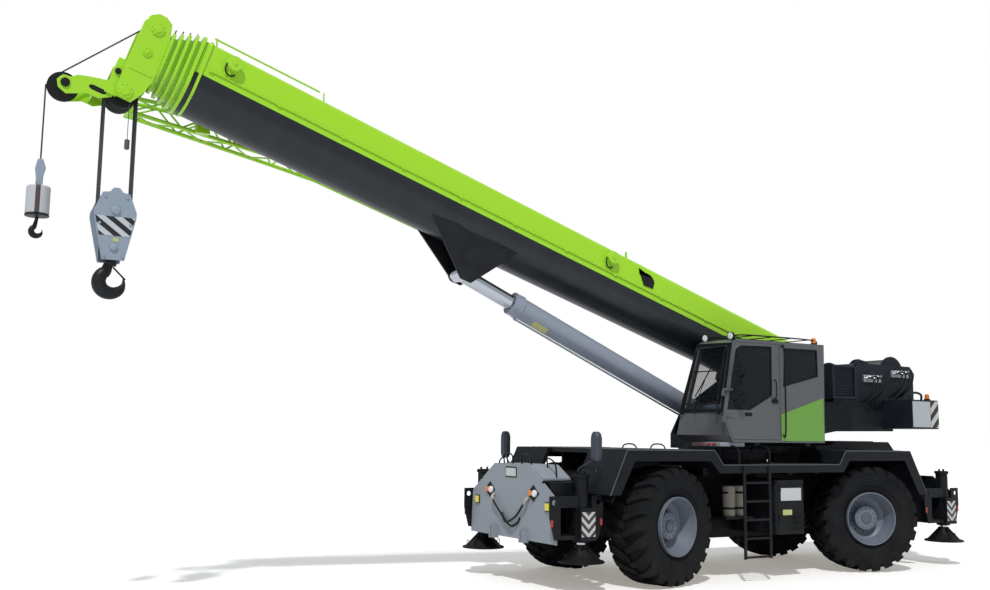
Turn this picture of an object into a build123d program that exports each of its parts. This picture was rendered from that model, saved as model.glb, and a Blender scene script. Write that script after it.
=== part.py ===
from build123d import *
import os
from math import cos, hypot, radians, sin

os.makedirs("parts", exist_ok=True)

# Rough-terrain crane, millimetres. +X is forward, +Y is the driver's left, +Z is up.
# The origin is on the ground under the middle of the whole crane.

# Axles and wheels
mid_x = -3426
front_kingpin_x = mid_x + 2357
rear_kingpin_x = mid_x - 2378
track = 2545
kingpin_offset = 200
tyre_radius = 935
tyre_width = 750
rim_radius = 448
rim_wall = 22
rim_outboard = 375
rim_inboard = 290
front_steer = 13.6
rear_steer = -19.8
seat_gap = 0.3
running_gap = 6

# Carrier frame and decks
frame_half_width = 440
frame_bottom = 600
frame_top = 1780
axle_arch_bottom = 1290
deck_half_width = 1640
deck_inner = 620
deck_top = 2136
deck_thick = 70
step_top = 1900
hood_top = 2290
hood_front_top = 2215
plate = 25

# Outriggers
front_box_x = mid_x + 3980
rear_box_x = mid_x - 4430
box_half_length = 330
box_bottom = 780
box_top = 1330
flange_top = 1430
flange_half_top = 485
flange_half_bottom = 400
flange_y = 1355
slot_pitch = 310
beam_width = 262
beam_height = 410
beam_bottom = 840
beam_end_y = 1430
beam_length = 2560
jack_y = 1250
jack_radius = 108
jack_top = 1750
jack_bottom = 725
jack_rod_radius = 72
float_bottom = 425
float_half = 360

# Front and rear shields
shield_half_bottom = flange_y - plate - running_gap
shield_bottom = 706
shield_mid = 1411
shield_top = 1875

# Upper structure
slew_x = mid_x - 200
ring_radius = 800
ring_height = 120
upper_bottom = 2080
side_plate_y = 600
side_plate = 40
cab_bottom = 2262
cab_in = 650
cab_out = 1500
cab_wall = 45

# Boom
boom_angle = 18.1
pivot_x = mid_x - 1100
pivot_z = 3300
pin_radius = 90
belly_v = -80
boom_depth = 1020
boom_half_width = 430
boom_tail = -300
collar_s = 11660
section_wall = 18
slide_gap = 14
collar_step = 95
lift_pin_s = 6600
lift_pin_v = -470
lift_foot_x = mid_x + 50
lift_foot_z = 2620
barrel_radius = 180
rod_radius = 125
barrel_length = 4700
eye_radius = 130
lug_y = 150

ca = cos(radians(boom_angle))
sa = sin(radians(boom_angle))


def boom_point(s, v, y=0):
    return (pivot_x + s * ca - v * sa, y, pivot_z + s * sa + v * ca)


def side(y):
    return Plane.XZ.offset(-y)


boom_section = Plane(origin=boom_point(0, 0), x_dir=(0, 1, 0), z_dir=(ca, 0, sa))


def boom_side(y=0):
    return Plane(origin=boom_point(0, 0, y), x_dir=(ca, 0, sa), z_dir=(0, -1, 0))


def write(part, label):
    part.label = label
    export_step(part, "parts/" + label + ".step")


# Wheels, knuckles and axles
corners = {
    "fl": (front_kingpin_x, 1, front_steer),
    "fr": (front_kingpin_x, -1, front_steer),
    "rl": (rear_kingpin_x, 1, rear_steer),
    "rr": (rear_kingpin_x, -1, rear_steer),
}
kingpin_y = track / 2 - kingpin_offset
yoke_half = 290
yoke_arm = 70
knuckle_radius = 215
web_inner = 20
web_thick = 40
hub_radius = 215

for corner, (kx, hand, steer) in corners.items():
    out = (-sin(radians(steer)) * hand, cos(radians(steer)) * hand, 0)
    ahead = (cos(radians(steer)) * hand, sin(radians(steer)) * hand, 0)
    kingpin = Vector(kx, hand * kingpin_y, tyre_radius)
    centre = kingpin + Vector(*out) * kingpin_offset
    wheel_plane = Plane(origin=centre, x_dir=out, z_dir=ahead)
    spin = Axis(centre, out)
    half = tyre_width / 2

    with BuildPart() as tyre:
        with BuildSketch(wheel_plane):
            with BuildLine():
                Polyline((-rim_inboard, rim_radius + seat_gap), (rim_inboard, rim_radius + seat_gap))
                ThreePointArc((rim_inboard, rim_radius + seat_gap), (half, 690), (half - 35, 890))
                Line((half - 35, 890), (half - 80, tyre_radius - 8))
                ThreePointArc((half - 80, tyre_radius - 8), (0, tyre_radius), (80 - half, tyre_radius - 8))
                Line((80 - half, tyre_radius - 8), (35 - half, 890))
                ThreePointArc((35 - half, 890), (-half, 690), (-rim_inboard, rim_radius + seat_gap))
            make_face()
        revolve(axis=spin)
    write(tyre.part, "tyre_" + corner)

    with BuildPart() as rim:
        with BuildSketch(wheel_plane):
            with BuildLine():
                inner = rim_radius - rim_wall
                Polyline(
                    (-rim_inboard, inner),
                    (-rim_inboard, rim_radius),
                    (rim_inboard + seat_gap, rim_radius),
                    (rim_inboard + seat_gap + 25, rim_radius + 16),
                    (rim_outboard, rim_radius + 16),
                    (rim_outboard, rim_radius),
                    (rim_inboard, inner),
                    (web_inner + web_thick + 60, inner - 60),
                    (web_inner + web_thick, hub_radius + 60),
                    (web_inner + web_thick, hub_radius),
                    (web_inner + 150, hub_radius),
                    (web_inner + 165, hub_radius - 15),
                    (web_inner + 165, 0),
                    (web_inner, 0),
                    (web_inner, hub_radius + 60),
                    (web_inner + 40, inner - 20),
                    (web_inner - 40, inner),
                    close=True,
                )
            make_face()
        revolve(axis=spin)
    write(rim.part, "rim_" + corner)

    with BuildPart() as knuckle:
        with BuildSketch(wheel_plane):
            with BuildLine():
                Polyline(
                    (-kingpin_offset, 0),
                    (-kingpin_offset, 150),
                    (-kingpin_offset + 60, knuckle_radius),
                    (web_inner - seat_gap, knuckle_radius),
                    (web_inner - seat_gap, 0),
                    close=True,
                )
            make_face()
        revolve(axis=spin)
        with BuildSketch(Plane.XY.offset(tyre_radius - yoke_half + yoke_arm + seat_gap)):
            with Locations((kingpin.X, kingpin.Y)):
                Circle(120)
        extrude(amount=2 * (yoke_half - yoke_arm - seat_gap))
    write(knuckle.part, "knuckle_" + corner)

with BuildPart() as axles:
    for kx in (front_kingpin_x, rear_kingpin_x):
        with BuildSketch(Plane.YZ.offset(kx)):
            with BuildLine():
                Polyline(
                    (0, tyre_radius + 270),
                    (200, tyre_radius + 255),
                    (360, tyre_radius + 170),
                    (kingpin_y - 260, tyre_radius + 150),
                    (kingpin_y - 170, tyre_radius + yoke_half),
                    (kingpin_y + 90, tyre_radius + yoke_half),
                    (kingpin_y + 90, tyre_radius + yoke_half - yoke_arm),
                    (kingpin_y - 135, tyre_radius + yoke_half - yoke_arm),
                    (kingpin_y - 135, tyre_radius),
                    (0, tyre_radius),
                    close=True,
                )
            make_face()
            mirror(about=Plane((0, tyre_radius, 0), z_dir=(0, 1, 0)))
            mirror(about=Plane.YZ)
        extrude(amount=110, both=True)
        with BuildSketch(Plane.YZ.offset(kx)):
            with Locations((0, tyre_radius)):
                Circle(270)
        extrude(amount=230, both=True)
        for hand in (1, -1):
            for bump in (1, -1):
                with BuildSketch(Plane.XY.offset(axle_arch_bottom)):
                    with Locations((kx + bump * 150, hand * 330)):
                        Rectangle(120, 160)
                extrude(amount=tyre_radius + 60 - axle_arch_bottom)
write(axles.part, "axles")

# Carrier frame: two deep rails joined into one box girder, arched over the axles
arch_half = 520
rear_end_x = rear_box_x + box_half_length
front_end_x = front_box_x - box_half_length
with BuildPart() as carrier_frame:
    with BuildSketch(side(0)):
        with BuildLine():
            Polyline(
                (rear_end_x, axle_arch_bottom),
                (rear_kingpin_x + arch_half, axle_arch_bottom),
                (rear_kingpin_x + arch_half + 250, frame_bottom),
                (front_kingpin_x - arch_half - 250, frame_bottom),
                (front_kingpin_x - arch_half, axle_arch_bottom),
                (front_end_x, axle_arch_bottom),
                (front_end_x, frame_top - 130),
                (front_kingpin_x + arch_half, frame_top),
                (rear_kingpin_x - arch_half, frame_top),
                (rear_end_x, frame_top - 130),
                close=True,
            )
        make_face()
    extrude(amount=frame_half_width, both=True)
    with BuildSketch(Plane.XY.offset(frame_top)):
        with Locations((slew_x, 0)):
            Circle(ring_radius - 40)
    extrude(amount=upper_bottom - ring_height - frame_top)
write(carrier_frame.part, "carrier_frame")

with BuildPart() as slew_ring:
    with BuildSketch(Plane.XY.offset(upper_bottom - ring_height)):
        with Locations((slew_x, 0)):
            Circle(ring_radius)
            Circle(ring_radius - 180, mode=Mode.SUBTRACT)
    extrude(amount=ring_height - seat_gap)
write(slew_ring.part, "slew_ring")

# Decks: folded plate over the wheels with a step between, one on each side
fender_drop = 90
deck_line = [
    (mid_x + 3560, 1445),
    (mid_x + 3234, deck_top),
    (mid_x + 1479, deck_top),
    (mid_x + 1292, step_top),
    (mid_x - 1385, step_top),
    (mid_x - 1545, deck_top),
    (mid_x - 3223, deck_top),
    (mid_x - 3660, 1345),
]
with BuildPart() as carrier_deck:
    for hand in (1, -1):
        with BuildSketch(side(hand * (deck_inner + deck_half_width) / 2)):
            with BuildLine():
                lower = [
                    (mid_x - 3590, 1345),
                    (mid_x - 3180, deck_top - deck_thick),
                    (mid_x - 1560, deck_top - deck_thick),
                    (mid_x - 1400, step_top - deck_thick),
                    (mid_x + 1310, step_top - deck_thick),
                    (mid_x + 1495, deck_top - deck_thick),
                    (mid_x + 3190, deck_top - deck_thick),
                    (mid_x + 3490, 1445),
                ]
                Polyline(*deck_line, *lower, close=True)
            make_face()
        extrude(amount=(deck_half_width - deck_inner) / 2, both=True)
        skirt_y = deck_half_width if hand > 0 else -deck_half_width + plate
        with BuildSketch(side(skirt_y)):
            with BuildLine():
                Polyline(
                    (mid_x + 3560, 1445),
                    (mid_x + 3234, deck_top),
                    (mid_x + 1479, deck_top),
                    (mid_x + 1292, step_top),
                    (mid_x - 1385, step_top),
                    (mid_x - 1545, deck_top),
                    (mid_x - 3223, deck_top),
                    (mid_x - 3660, 1345),
                    (mid_x - 3440, 1345),
                    (mid_x - 3080, deck_top - 2 * fender_drop),
                    (mid_x - 1640, deck_top - 2 * fender_drop),
                    (mid_x - 1480, 1760),
                    (mid_x + 1370, 1760),
                    (mid_x + 1560, deck_top - 2 * fender_drop),
                    (mid_x + 3090, deck_top - 2 * fender_drop),
                    (mid_x + 3360, 1445),
                    close=True,
                )
            make_face()
        extrude(amount=plate)
        # brackets that carry the decks from the frame
        for bx in (mid_x + 1250, mid_x - 1350, mid_x + 300, mid_x - 700):
            with BuildSketch(Plane.XY.offset(step_top - deck_thick)):
                with Locations((bx, hand * (frame_half_width + 350))):
                    Rectangle(90, 700)
            extrude(amount=-120)
    # cross deck in front of the turntable joins both sides
    for x0, x1 in ((mid_x + 1480, mid_x + 3200), (mid_x - 1900, mid_x - 1560)):
        with BuildSketch(Plane.XY.offset(deck_top - deck_thick)):
            with Locations(((x0 + x1) / 2, 0)):
                Rectangle(x1 - x0, 2 * deck_inner)
        extrude(amount=deck_thick)
        for rib in (-1, 1):
            with BuildSketch(Plane.XY.offset(frame_top)):
                with Locations(((x0 + x1) / 2, rib * (frame_half_width - 60))):
                    Rectangle(x1 - x0 - 200, 40)
            extrude(amount=deck_top - deck_thick - frame_top)
    with BuildSketch(Plane.XY.offset(step_top - 200)):
        with Locations((slew_x, 0)):
            Circle(ring_radius + 20)
    extrude(amount=400, mode=Mode.SUBTRACT)
write(carrier_deck.part, "carrier_deck")

# Engine under its hood behind the turntable
hood_x0 = mid_x - 4050
hood_x1 = mid_x - 1910
with BuildPart() as engine_hood:
    with BuildSketch(side(0)):
        with BuildLine():
            Polyline(
                (hood_x0, frame_top),
                (hood_x0 - 40, 2060),
                (hood_x0 + 180, hood_top),
                (mid_x - 2430, hood_top),
                (mid_x - 2330, hood_front_top),
                (hood_x1, hood_front_top),
                (hood_x1, frame_top),
                close=True,
            )
        make_face()
    extrude(amount=deck_inner - seat_gap, both=True)
    offset(amount=-plate, openings=engine_hood.faces().sort_by(Axis.Z)[:1])
write(engine_hood.part, "engine_hood")

engine_half = 400
with BuildPart() as engine_block:
    with BuildSketch(Plane.XY.offset(frame_top)):
        with Locations(((hood_x0 + hood_x1) / 2 - 100, 0)):
            Rectangle(1500, 2 * engine_half)
    extrude(amount=hood_front_top - frame_top - 60)
write(engine_block.part, "engine_block")

# Outrigger boxes: a welded box across each end with two slots, one beam for each side
slot_gap = running_gap
slot_height = beam_height + seat_gap + slot_gap
slot_mid = beam_bottom - seat_gap + slot_height / 2
beams = {
    "fl": (front_box_x - slot_pitch / 2, 1),
    "fr": (front_box_x + slot_pitch / 2, -1),
    "rl": (rear_box_x - slot_pitch / 2, 1),
    "rr": (rear_box_x + slot_pitch / 2, -1),
}
slot_z = beam_bottom + beam_height / 2
with BuildPart() as outrigger_boxes:
    for bx in (front_box_x, rear_box_x):
        with BuildSketch(side(0)):
            with Locations((bx, (box_bottom + box_top) / 2)):
                Rectangle(2 * box_half_length, box_top - box_bottom)
            with Locations((bx - slot_pitch / 2, slot_mid), (bx + slot_pitch / 2, slot_mid)):
                Rectangle(beam_width + 2 * slot_gap, slot_height, mode=Mode.SUBTRACT)
        extrude(amount=flange_y - plate, both=True)
        for hand in (1, -1):
            with BuildSketch(side(flange_y if hand > 0 else plate - flange_y)):
                with BuildLine():
                    Polyline(
                        (bx - flange_half_top, flange_top),
                        (bx + flange_half_top, flange_top),
                        (bx + flange_half_top, flange_top - 320),
                        (bx + flange_half_bottom, box_bottom),
                        (bx - flange_half_bottom, box_bottom),
                        (bx - flange_half_top, flange_top - 320),
                        close=True,
                    )
                make_face()
                with Locations((bx - slot_pitch / 2, slot_mid), (bx + slot_pitch / 2, slot_mid)):
                    Rectangle(beam_width + 2 * slot_gap, slot_height, mode=Mode.SUBTRACT)
                with Locations((bx - 403, flange_top - 96), (bx + 403, flange_top - 96)):
                    Circle(42, mode=Mode.SUBTRACT)
            extrude(amount=plate)
    jack_notch = jack_radius + 14
    for bx, hand in beams.values():
        with BuildSketch(Plane.XY.offset(box_bottom - 10)):
            with Locations((bx, hand * (jack_y + 400 - jack_notch))):
                Rectangle(2 * jack_notch, 800)
        extrude(amount=flange_top - box_bottom + 20, mode=Mode.SUBTRACT)
write(outrigger_boxes.part, "outrigger_boxes")

jack_bore = jack_rod_radius + seat_gap
for corner, (bx, hand) in beams.items():
    with BuildPart() as beam:
        with BuildSketch(side(hand * beam_end_y)):
            with Locations((bx, slot_z)):
                Rectangle(beam_width, beam_height)
                Rectangle(beam_width - 40, beam_height - 40, mode=Mode.SUBTRACT)
        extrude(amount=hand * beam_length)
        with BuildSketch(side(hand * beam_end_y)):
            with Locations((bx, slot_z - 40)):
                Rectangle(290, 490)
        extrude(amount=-hand * 12)
        with BuildSketch(Plane.XY.offset(jack_bottom)):
            with Locations((bx, hand * jack_y)):
                Circle(jack_radius)
        extrude(amount=jack_top - jack_bottom)
        with BuildSketch(Plane.XY.offset(jack_bottom)):
            with Locations((bx, hand * jack_y)):
                Circle(jack_bore)
        extrude(amount=jack_top - jack_bottom - 40, mode=Mode.SUBTRACT)
    write(beam.part, "outrigger_beam_" + corner)

    with BuildPart() as jack:
        with BuildSketch(Plane.XY.offset(float_bottom)):
            with Locations((bx, hand * jack_y)):
                RegularPolygon(float_half, 8)
        extrude(amount=28)
        with BuildSketch(Plane.XY.offset(float_bottom + 28)):
            with Locations((bx, hand * jack_y)):
                RegularPolygon(float_half - 50, 8)
        with BuildSketch(Plane.XY.offset(float_bottom + 270)):
            with Locations((bx, hand * jack_y)):
                RegularPolygon(88, 8)
        loft()
        with BuildSketch(Plane.XY.offset(float_bottom + 260)):
            with Locations((bx, hand * jack_y)):
                Circle(jack_rod_radius)
        extrude(amount=jack_top - 80 - float_bottom - 260)
    write(jack.part, "jack_" + corner)

# Shields across both ends, with four fork tabs under the front one
with BuildPart() as front_shield:
    with BuildSketch(Plane.YZ.offset(front_box_x + box_half_length)):
        with BuildLine():
            Polyline(
                (-shield_half_bottom, shield_bottom),
                (shield_half_bottom, shield_bottom),
                (shield_half_bottom - 50, shield_mid),
                (546, shield_top),
                (-546, shield_top),
                (50 - shield_half_bottom, shield_mid),
                close=True,
            )
        make_face()
    extrude(amount=plate)
    for tab in (-520, -420, 420, 520):
        with BuildSketch(Plane.XZ.offset(-tab + 15)):
            with Locations((front_box_x + box_half_length + 55, shield_bottom + 60)):
                Rectangle(110, 200)
        extrude(amount=30)
    with BuildSketch(Plane.YZ.offset(front_box_x + box_half_length)):
        with BuildLine():
            Polyline(
                (-546, shield_top), (546, shield_top), (900, shield_top - 200), (900, shield_top - 230),
                (540, shield_top - 25), (-540, shield_top - 25), (-900, shield_top - 230),
                (-900, shield_top - 200), close=True,
            )
        make_face()
    extrude(amount=-520)
write(front_shield.part, "front_shield")

with BuildPart() as rear_shield:
    with BuildSketch(Plane.YZ.offset(rear_box_x - box_half_length)):
        with BuildLine():
            Polyline(
                (-shield_half_bottom, shield_bottom + 90),
                (shield_half_bottom, shield_bottom + 90),
                (shield_half_bottom, shield_mid - 60),
                (900, 1640),
                (-900, 1640),
                (-shield_half_bottom, shield_mid - 60),
                close=True,
            )
        make_face()
    extrude(amount=-plate)
write(rear_shield.part, "rear_shield")

# Lockers between the boxes and the decks, tanks and ladders on the frame's flanks
with BuildPart() as side_boxes:
    lockers = [
        (mid_x - 600, mid_x + 70, 1, 1560, 730, 1635),
        (mid_x - 900, mid_x + 900, -1, 1540, 740, 1600),
    ]
    for x0, x1, hand, reach, z0, z1 in lockers:
        with BuildSketch(Plane.XY.offset(z0)):
            with Locations(((x0 + x1) / 2, hand * (frame_half_width + reach) / 2)):
                RectangleRounded(x1 - x0, reach - frame_half_width, 60)
            with Locations(((x0 + x1) / 2, hand * (frame_half_width + 60))):
                Rectangle(x1 - x0, 120)
        extrude(amount=z1 - z0)
    for hand in (1, -1):
        with BuildSketch(Plane.XY.offset(box_top)):
            with Locations((front_box_x + 10, hand * 800)):
                Rectangle(560, 560)
        extrude(amount=290)
write(side_boxes.part, "side_boxes")

ladder_x = mid_x + 580
ladder_half = 280
ladder_y = deck_half_width
with BuildPart() as ladders:
    for hand in (1, -1):
        rail_y = hand * ladder_y + (0 if hand < 0 else 24)
        with BuildSketch(side(rail_y)):
            with Locations((ladder_x - ladder_half, 1120), (ladder_x + ladder_half, 1120)):
                Rectangle(50, 1500)
            with Locations(*[(ladder_x, 400 + 300 * n) for n in range(5)]):
                Rectangle(2 * ladder_half, 36)
        extrude(amount=24)
write(ladders.part, "ladders")

with BuildPart() as deck_mirrors:
    for hand in (1, -1):
        mirror_x = mid_x + 3640
        with BuildSketch(Plane.XY.offset(box_top + 290)):
            with Locations((mirror_x + 150, hand * 1040)):
                Circle(18)
        extrude(amount=330)
        with BuildSketch(Plane.YZ.offset(mirror_x + 150)):
            with BuildLine():
                Polyline(
                    (hand * 1030, box_top + 580), (hand * 1330, box_top + 700),
                    (hand * 1330, box_top + 740), (hand * 1030, box_top + 620), close=True,
                )
            make_face()
        extrude(amount=18, both=True)
        with BuildSketch(side(hand * 1330 + 100)):
            with Locations((mirror_x + 150, 2170)):
                SlotOverall(480, 190, rotation=90)
        extrude(amount=200)
write(deck_mirrors.part, "deck_mirrors")

# Turntable: base disc, two tall side plates, lift foot lugs and the tail frame
side_inner = side_plate_y - side_plate
foot_pin_radius = 80
foot_width = 190
tail_x = mid_x - 4050
with BuildPart() as turntable:
    with BuildSketch(Plane.XY.offset(upper_bottom)):
        with Locations((slew_x, 0)):
            Circle(ring_radius + 30)
    extrude(amount=60)
    with BuildSketch(side(side_plate_y)):
        with BuildLine():
            Polyline(
                (mid_x + 560, upper_bottom + 60),
                (mid_x + 560, 2400),
                (mid_x + 300, 2860),
                (pivot_x + 330, pivot_z + 220),
                (pivot_x + 120, pivot_z + 320),
                (pivot_x - 200, pivot_z + 320),
                (mid_x - 2250, 3085),
                (tail_x, 3085),
                (tail_x, 2500),
                (mid_x - 2450, 2480),
                (mid_x - 1500, 2330),
                (mid_x - 960, upper_bottom + 60),
                close=True,
            )
        make_face()
    extrude(amount=side_plate)
    mirror(about=Plane.XZ)
    for x0, x1, z0, z1 in (
        (tail_x, tail_x + 60, 2500, 3085),
        (mid_x - 2450, mid_x - 2390, 2480, 3085),
        (mid_x + 500, mid_x + 560, upper_bottom + 60, 2400),
    ):
        with BuildSketch(side(0)):
            with Locations(((x0 + x1) / 2, (z0 + z1) / 2)):
                Rectangle(x1 - x0, z1 - z0)
        extrude(amount=side_inner, both=True)
    with BuildSketch(side(0)):
        with BuildLine():
            Polyline(
                (tail_x, 2500), (mid_x - 2450, 2480), (mid_x - 1500, 2330), (mid_x - 900, 2119),
                (mid_x - 900, 2149), (mid_x - 1490, 2360), (mid_x - 2440, 2510), (tail_x, 2530), close=True,
            )
        make_face()
    extrude(amount=side_inner, both=True)
    # pins across the plates carry the boom foot and the lift cylinder
    for px, pz, radius in ((pivot_x, pivot_z, pin_radius), (lift_foot_x, lift_foot_z, foot_pin_radius)):
        with BuildSketch(side(0)):
            with Locations((px, pz)):
                Circle(radius)
        extrude(amount=side_plate_y + 20, both=True)
    for hand in (1, -1):
        lug_face = foot_width + running_gap
        with BuildSketch(side(lug_face + 40 if hand > 0 else -lug_face)):
            with BuildLine():
                Polyline(
                    (lift_foot_x - 330, upper_bottom + 60),
                    (lift_foot_x + 330, upper_bottom + 60),
                    (lift_foot_x + 150, lift_foot_z + 60),
                    (lift_foot_x + 60, lift_foot_z + 130),
                    (lift_foot_x - 60, lift_foot_z + 130),
                    (lift_foot_x - 150, lift_foot_z + 60),
                    close=True,
                )
            make_face()
        extrude(amount=40)
    # arms under the cab
    for ax in (mid_x + 300, mid_x - 900):
        with BuildSketch(Plane.XY.offset(cab_bottom - 60)):
            with Locations((ax, (side_plate_y + cab_out - 120) / 2)):
                Rectangle(120, cab_out - 120 - side_plate_y)
        extrude(amount=60)
write(turntable.part, "turntable")

# Cab: two side outlines lofted across, hollowed by the wall and cut for its windows
cab_inner_line = [(-1186, 0), (1250, 0), (1438, 118), (1346, 501), (971, 1674), (860, 1732), (-1223, 1732)]
cab_outer_line = [(-1186, 0), (940, 0), (1018, 107), (1158, 498), (936, 1652), (805, 1732), (-1223, 1732)]


def cab_body(inset):
    with BuildPart() as body:
        for y, line in ((cab_in + inset, cab_inner_line), (cab_out - inset, cab_outer_line)):
            with BuildSketch(side(y)):
                with BuildLine():
                    Polyline(*[(mid_x + px, cab_bottom + pz) for px, pz in line], close=True)
                make_face()
                if inset:
                    offset(amount=-inset, kind=Kind.INTERSECTION, mode=Mode.REPLACE)
        loft()
    return body.part


door_rear = mid_x - 138
hinge_x = mid_x + 1150
hinge_y = cab_out + 16
hinge_radius = 14
hinge_height = 90
hinge_spots = (cab_bottom + 330, cab_bottom + 760)
door_line = [
    (door_rear, cab_bottom + 50),
    (mid_x + 930, cab_bottom + 50),
    (mid_x + 985, cab_bottom + 120),
    (mid_x + 1118, cab_bottom + 498),
    (mid_x + 912, cab_bottom + 1630),
    (mid_x + 860, cab_bottom + 1675),
    (door_rear, cab_bottom + 1675),
]
door_window = [
    (mid_x + 1070, cab_bottom + 538),
    (mid_x + 560, cab_bottom + 538),
    (mid_x + 54, cab_bottom + 790),
    (mid_x + 40, cab_bottom + 1640),
    (mid_x + 740, cab_bottom + 1625),
    (mid_x + 862, cab_bottom + 1560),
]
rear_side_window = [
    (mid_x - 253, cab_bottom + 1629),
    (mid_x - 1052, cab_bottom + 1634),
    (mid_x - 1059, cab_bottom + 1157),
    (mid_x - 208, cab_bottom + 952),
]


def windows():
    with BuildPart() as cuts:
        with BuildSketch(side(cab_out + 20)):
            with BuildLine():
                Polyline(*rear_side_window, close=True)
            make_face()
        extrude(amount=cab_wall + 40)
        # right side window, windscreen, rear and roof windows
        with BuildSketch(side(cab_in + cab_wall + 20)):
            with BuildLine():
                Polyline(
                    (mid_x - 1000, cab_bottom + 900), (mid_x + 1180, cab_bottom + 620),
                    (mid_x + 860, cab_bottom + 1620), (mid_x - 1000, cab_bottom + 1620), close=True,
                )
            make_face()
        extrude(amount=cab_wall + 40)
        with BuildSketch(Plane.YZ.offset(mid_x + 880)):
            with Locations(((cab_in + cab_out) / 2, cab_bottom + 1060)):
                Rectangle(cab_out - cab_in - 150, 1090)
        extrude(amount=700)
        with BuildSketch(Plane.YZ.offset(mid_x - 1300)):
            with Locations(((cab_in + cab_out) / 2, cab_bottom + 1300)):
                Rectangle(cab_out - cab_in - 260, 560)
        extrude(amount=180)
        with BuildSketch(Plane.XY.offset(cab_bottom + 1660)):
            with Locations((mid_x + 250, (cab_in + cab_out) / 2)):
                Rectangle(900, cab_out - cab_in - 260)
        extrude(amount=120)
    return cuts.part


cab_outside = cab_body(0)
window_cuts = windows()
with BuildPart() as cab_shell:
    add(cab_outside)
    add(cab_body(cab_wall), mode=Mode.SUBTRACT)
    add(window_cuts, mode=Mode.SUBTRACT)
    with BuildSketch(side(cab_out + 10)):
        with BuildLine():
            Polyline(*door_line, close=True)
        make_face()
        offset(amount=running_gap, kind=Kind.INTERSECTION)
    extrude(amount=cab_wall + 20, mode=Mode.SUBTRACT)
    for hz in hinge_spots:
        with BuildSketch(Plane.XY.offset(hz)):
            with Locations((hinge_x, hinge_y)):
                Circle(hinge_radius)
            with Locations((hinge_x, (hinge_y + cab_out - 40) / 2)):
                Rectangle(16, hinge_y - cab_out + 40)
        extrude(amount=hinge_height)
write(cab_shell.part, "cab_shell")

glass_inset = 15
glass_thick = 8
with BuildPart() as cab_glass:
    add(cab_body(glass_inset))
    add(cab_body(glass_inset + glass_thick), mode=Mode.SUBTRACT)
    add(window_cuts, mode=Mode.INTERSECT)
write(cab_glass.part, "cab_glass")

with BuildPart() as cab_door:
    with BuildSketch(side(cab_out)):
        with BuildLine():
            Polyline(*door_line, close=True)
        make_face()
        with BuildLine():
            Polyline(*door_window, close=True)
        make_face(mode=Mode.SUBTRACT)
    extrude(amount=cab_wall)
    for hz in hinge_spots:
        with BuildSketch(Plane.XY.offset(hz + hinge_height + seat_gap)):
            with Locations((hinge_x, hinge_y)):
                Circle(hinge_radius)
            with Locations((hinge_x - 100, hinge_y - hinge_radius / 2 + 1)):
                Rectangle(200, hinge_radius)
        extrude(amount=40)
write(cab_door.part, "cab_door")

with BuildPart() as door_glass:
    with BuildSketch(side(cab_out - glass_inset)):
        with BuildLine():
            Polyline(*door_window, close=True)
        make_face()
    extrude(amount=glass_thick)
write(door_glass.part, "door_glass")

cab_mid_y = (cab_in + cab_out) / 2
with BuildPart() as cab_interior:
    floor_z = cab_bottom + cab_wall
    with BuildSketch(Plane.XY.offset(floor_z)):
        with Locations((mid_x - 350, cab_mid_y)):
            Rectangle(420, 380)
    extrude(amount=380)
    with BuildSketch(side(cab_mid_y)):
        with BuildLine():
            Polyline(
                (mid_x - 30, floor_z + 380), (mid_x - 30, floor_z + 480), (mid_x - 500, floor_z + 470),
                (mid_x - 640, floor_z + 1120), (mid_x - 740, floor_z + 1100), (mid_x - 600, floor_z + 380),
                close=True,
            )
        make_face()
    extrude(amount=240, both=True)
    with BuildSketch(Plane.XY.offset(floor_z)):
        with Locations((mid_x + 800, cab_mid_y)):
            Rectangle(260, 500)
    extrude(amount=520)
write(cab_interior.part, "cab_interior")

# Cooler beside the boom foot, winches in their frame and the counterweight
with BuildPart() as oil_cooler:
    with BuildSketch(side(1000)):
        with Locations((mid_x - 2285, 3398)):
            Rectangle(630, 625)
    extrude(amount=1000 - side_plate_y)
    with BuildSketch(side(1000)):
        with Locations((mid_x - 2285, 3398)):
            Rectangle(540, 535)
    extrude(amount=30, mode=Mode.SUBTRACT)
    with BuildSketch(side(side_plate_y)):
        with Locations((mid_x - 2400, 3060)):
            Rectangle(400, 60)
    extrude(amount=-200)
write(oil_cooler.part, "oil_cooler")

winch_line = [
    (mid_x - 3050, 3085),
    (mid_x - 3050, 3680),
    (mid_x - 3150, 3810),
    (mid_x - 4600, 3790),
    (mid_x - 4690, 3700),
    (mid_x - 4690, 3112),
    (tail_x, 3112),
    (tail_x, 3085),
]
drum_spots = ((mid_x - 3430, 3550), (mid_x - 4270, 3660))
drum_half = 430
with BuildPart() as winch_frame:
    for hand in (1, -1):
        with BuildSketch(side(side_plate_y if hand > 0 else -side_inner)):
            with BuildLine():
                Polyline(*winch_line, close=True)
            make_face()
        extrude(amount=side_plate)
    for x0, x1, z0, z1 in (
        (mid_x - 3110, mid_x - 3050, 3085, 3160),
        (mid_x - 4690, mid_x - 4630, 3112, 3700),
        (mid_x - 3870, mid_x - 3810, 3112, 3400),
    ):
        with BuildSketch(side(0)):
            with Locations(((x0 + x1) / 2, (z0 + z1) / 2)):
                Rectangle(x1 - x0, z1 - z0)
        extrude(amount=side_inner, both=True)
write(winch_frame.part, "winch_frame")

with BuildPart() as winches:
    for dx, dz in drum_spots:
        with BuildSketch(side(0)):
            with Locations((dx, dz)):
                Circle(250)
        extrude(amount=drum_half, both=True)
        for hand in (1, -1):
            with BuildSketch(side(hand * drum_half)):
                with Locations((dx, dz)):
                    Circle(330)
            extrude(amount=hand * 30)
            with BuildSketch(side(hand * side_inner)):
                with Locations((dx, dz)):
                    Circle(150)
            extrude(amount=hand * (side_inner - drum_half))
write(winches.part, "winches")

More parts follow.
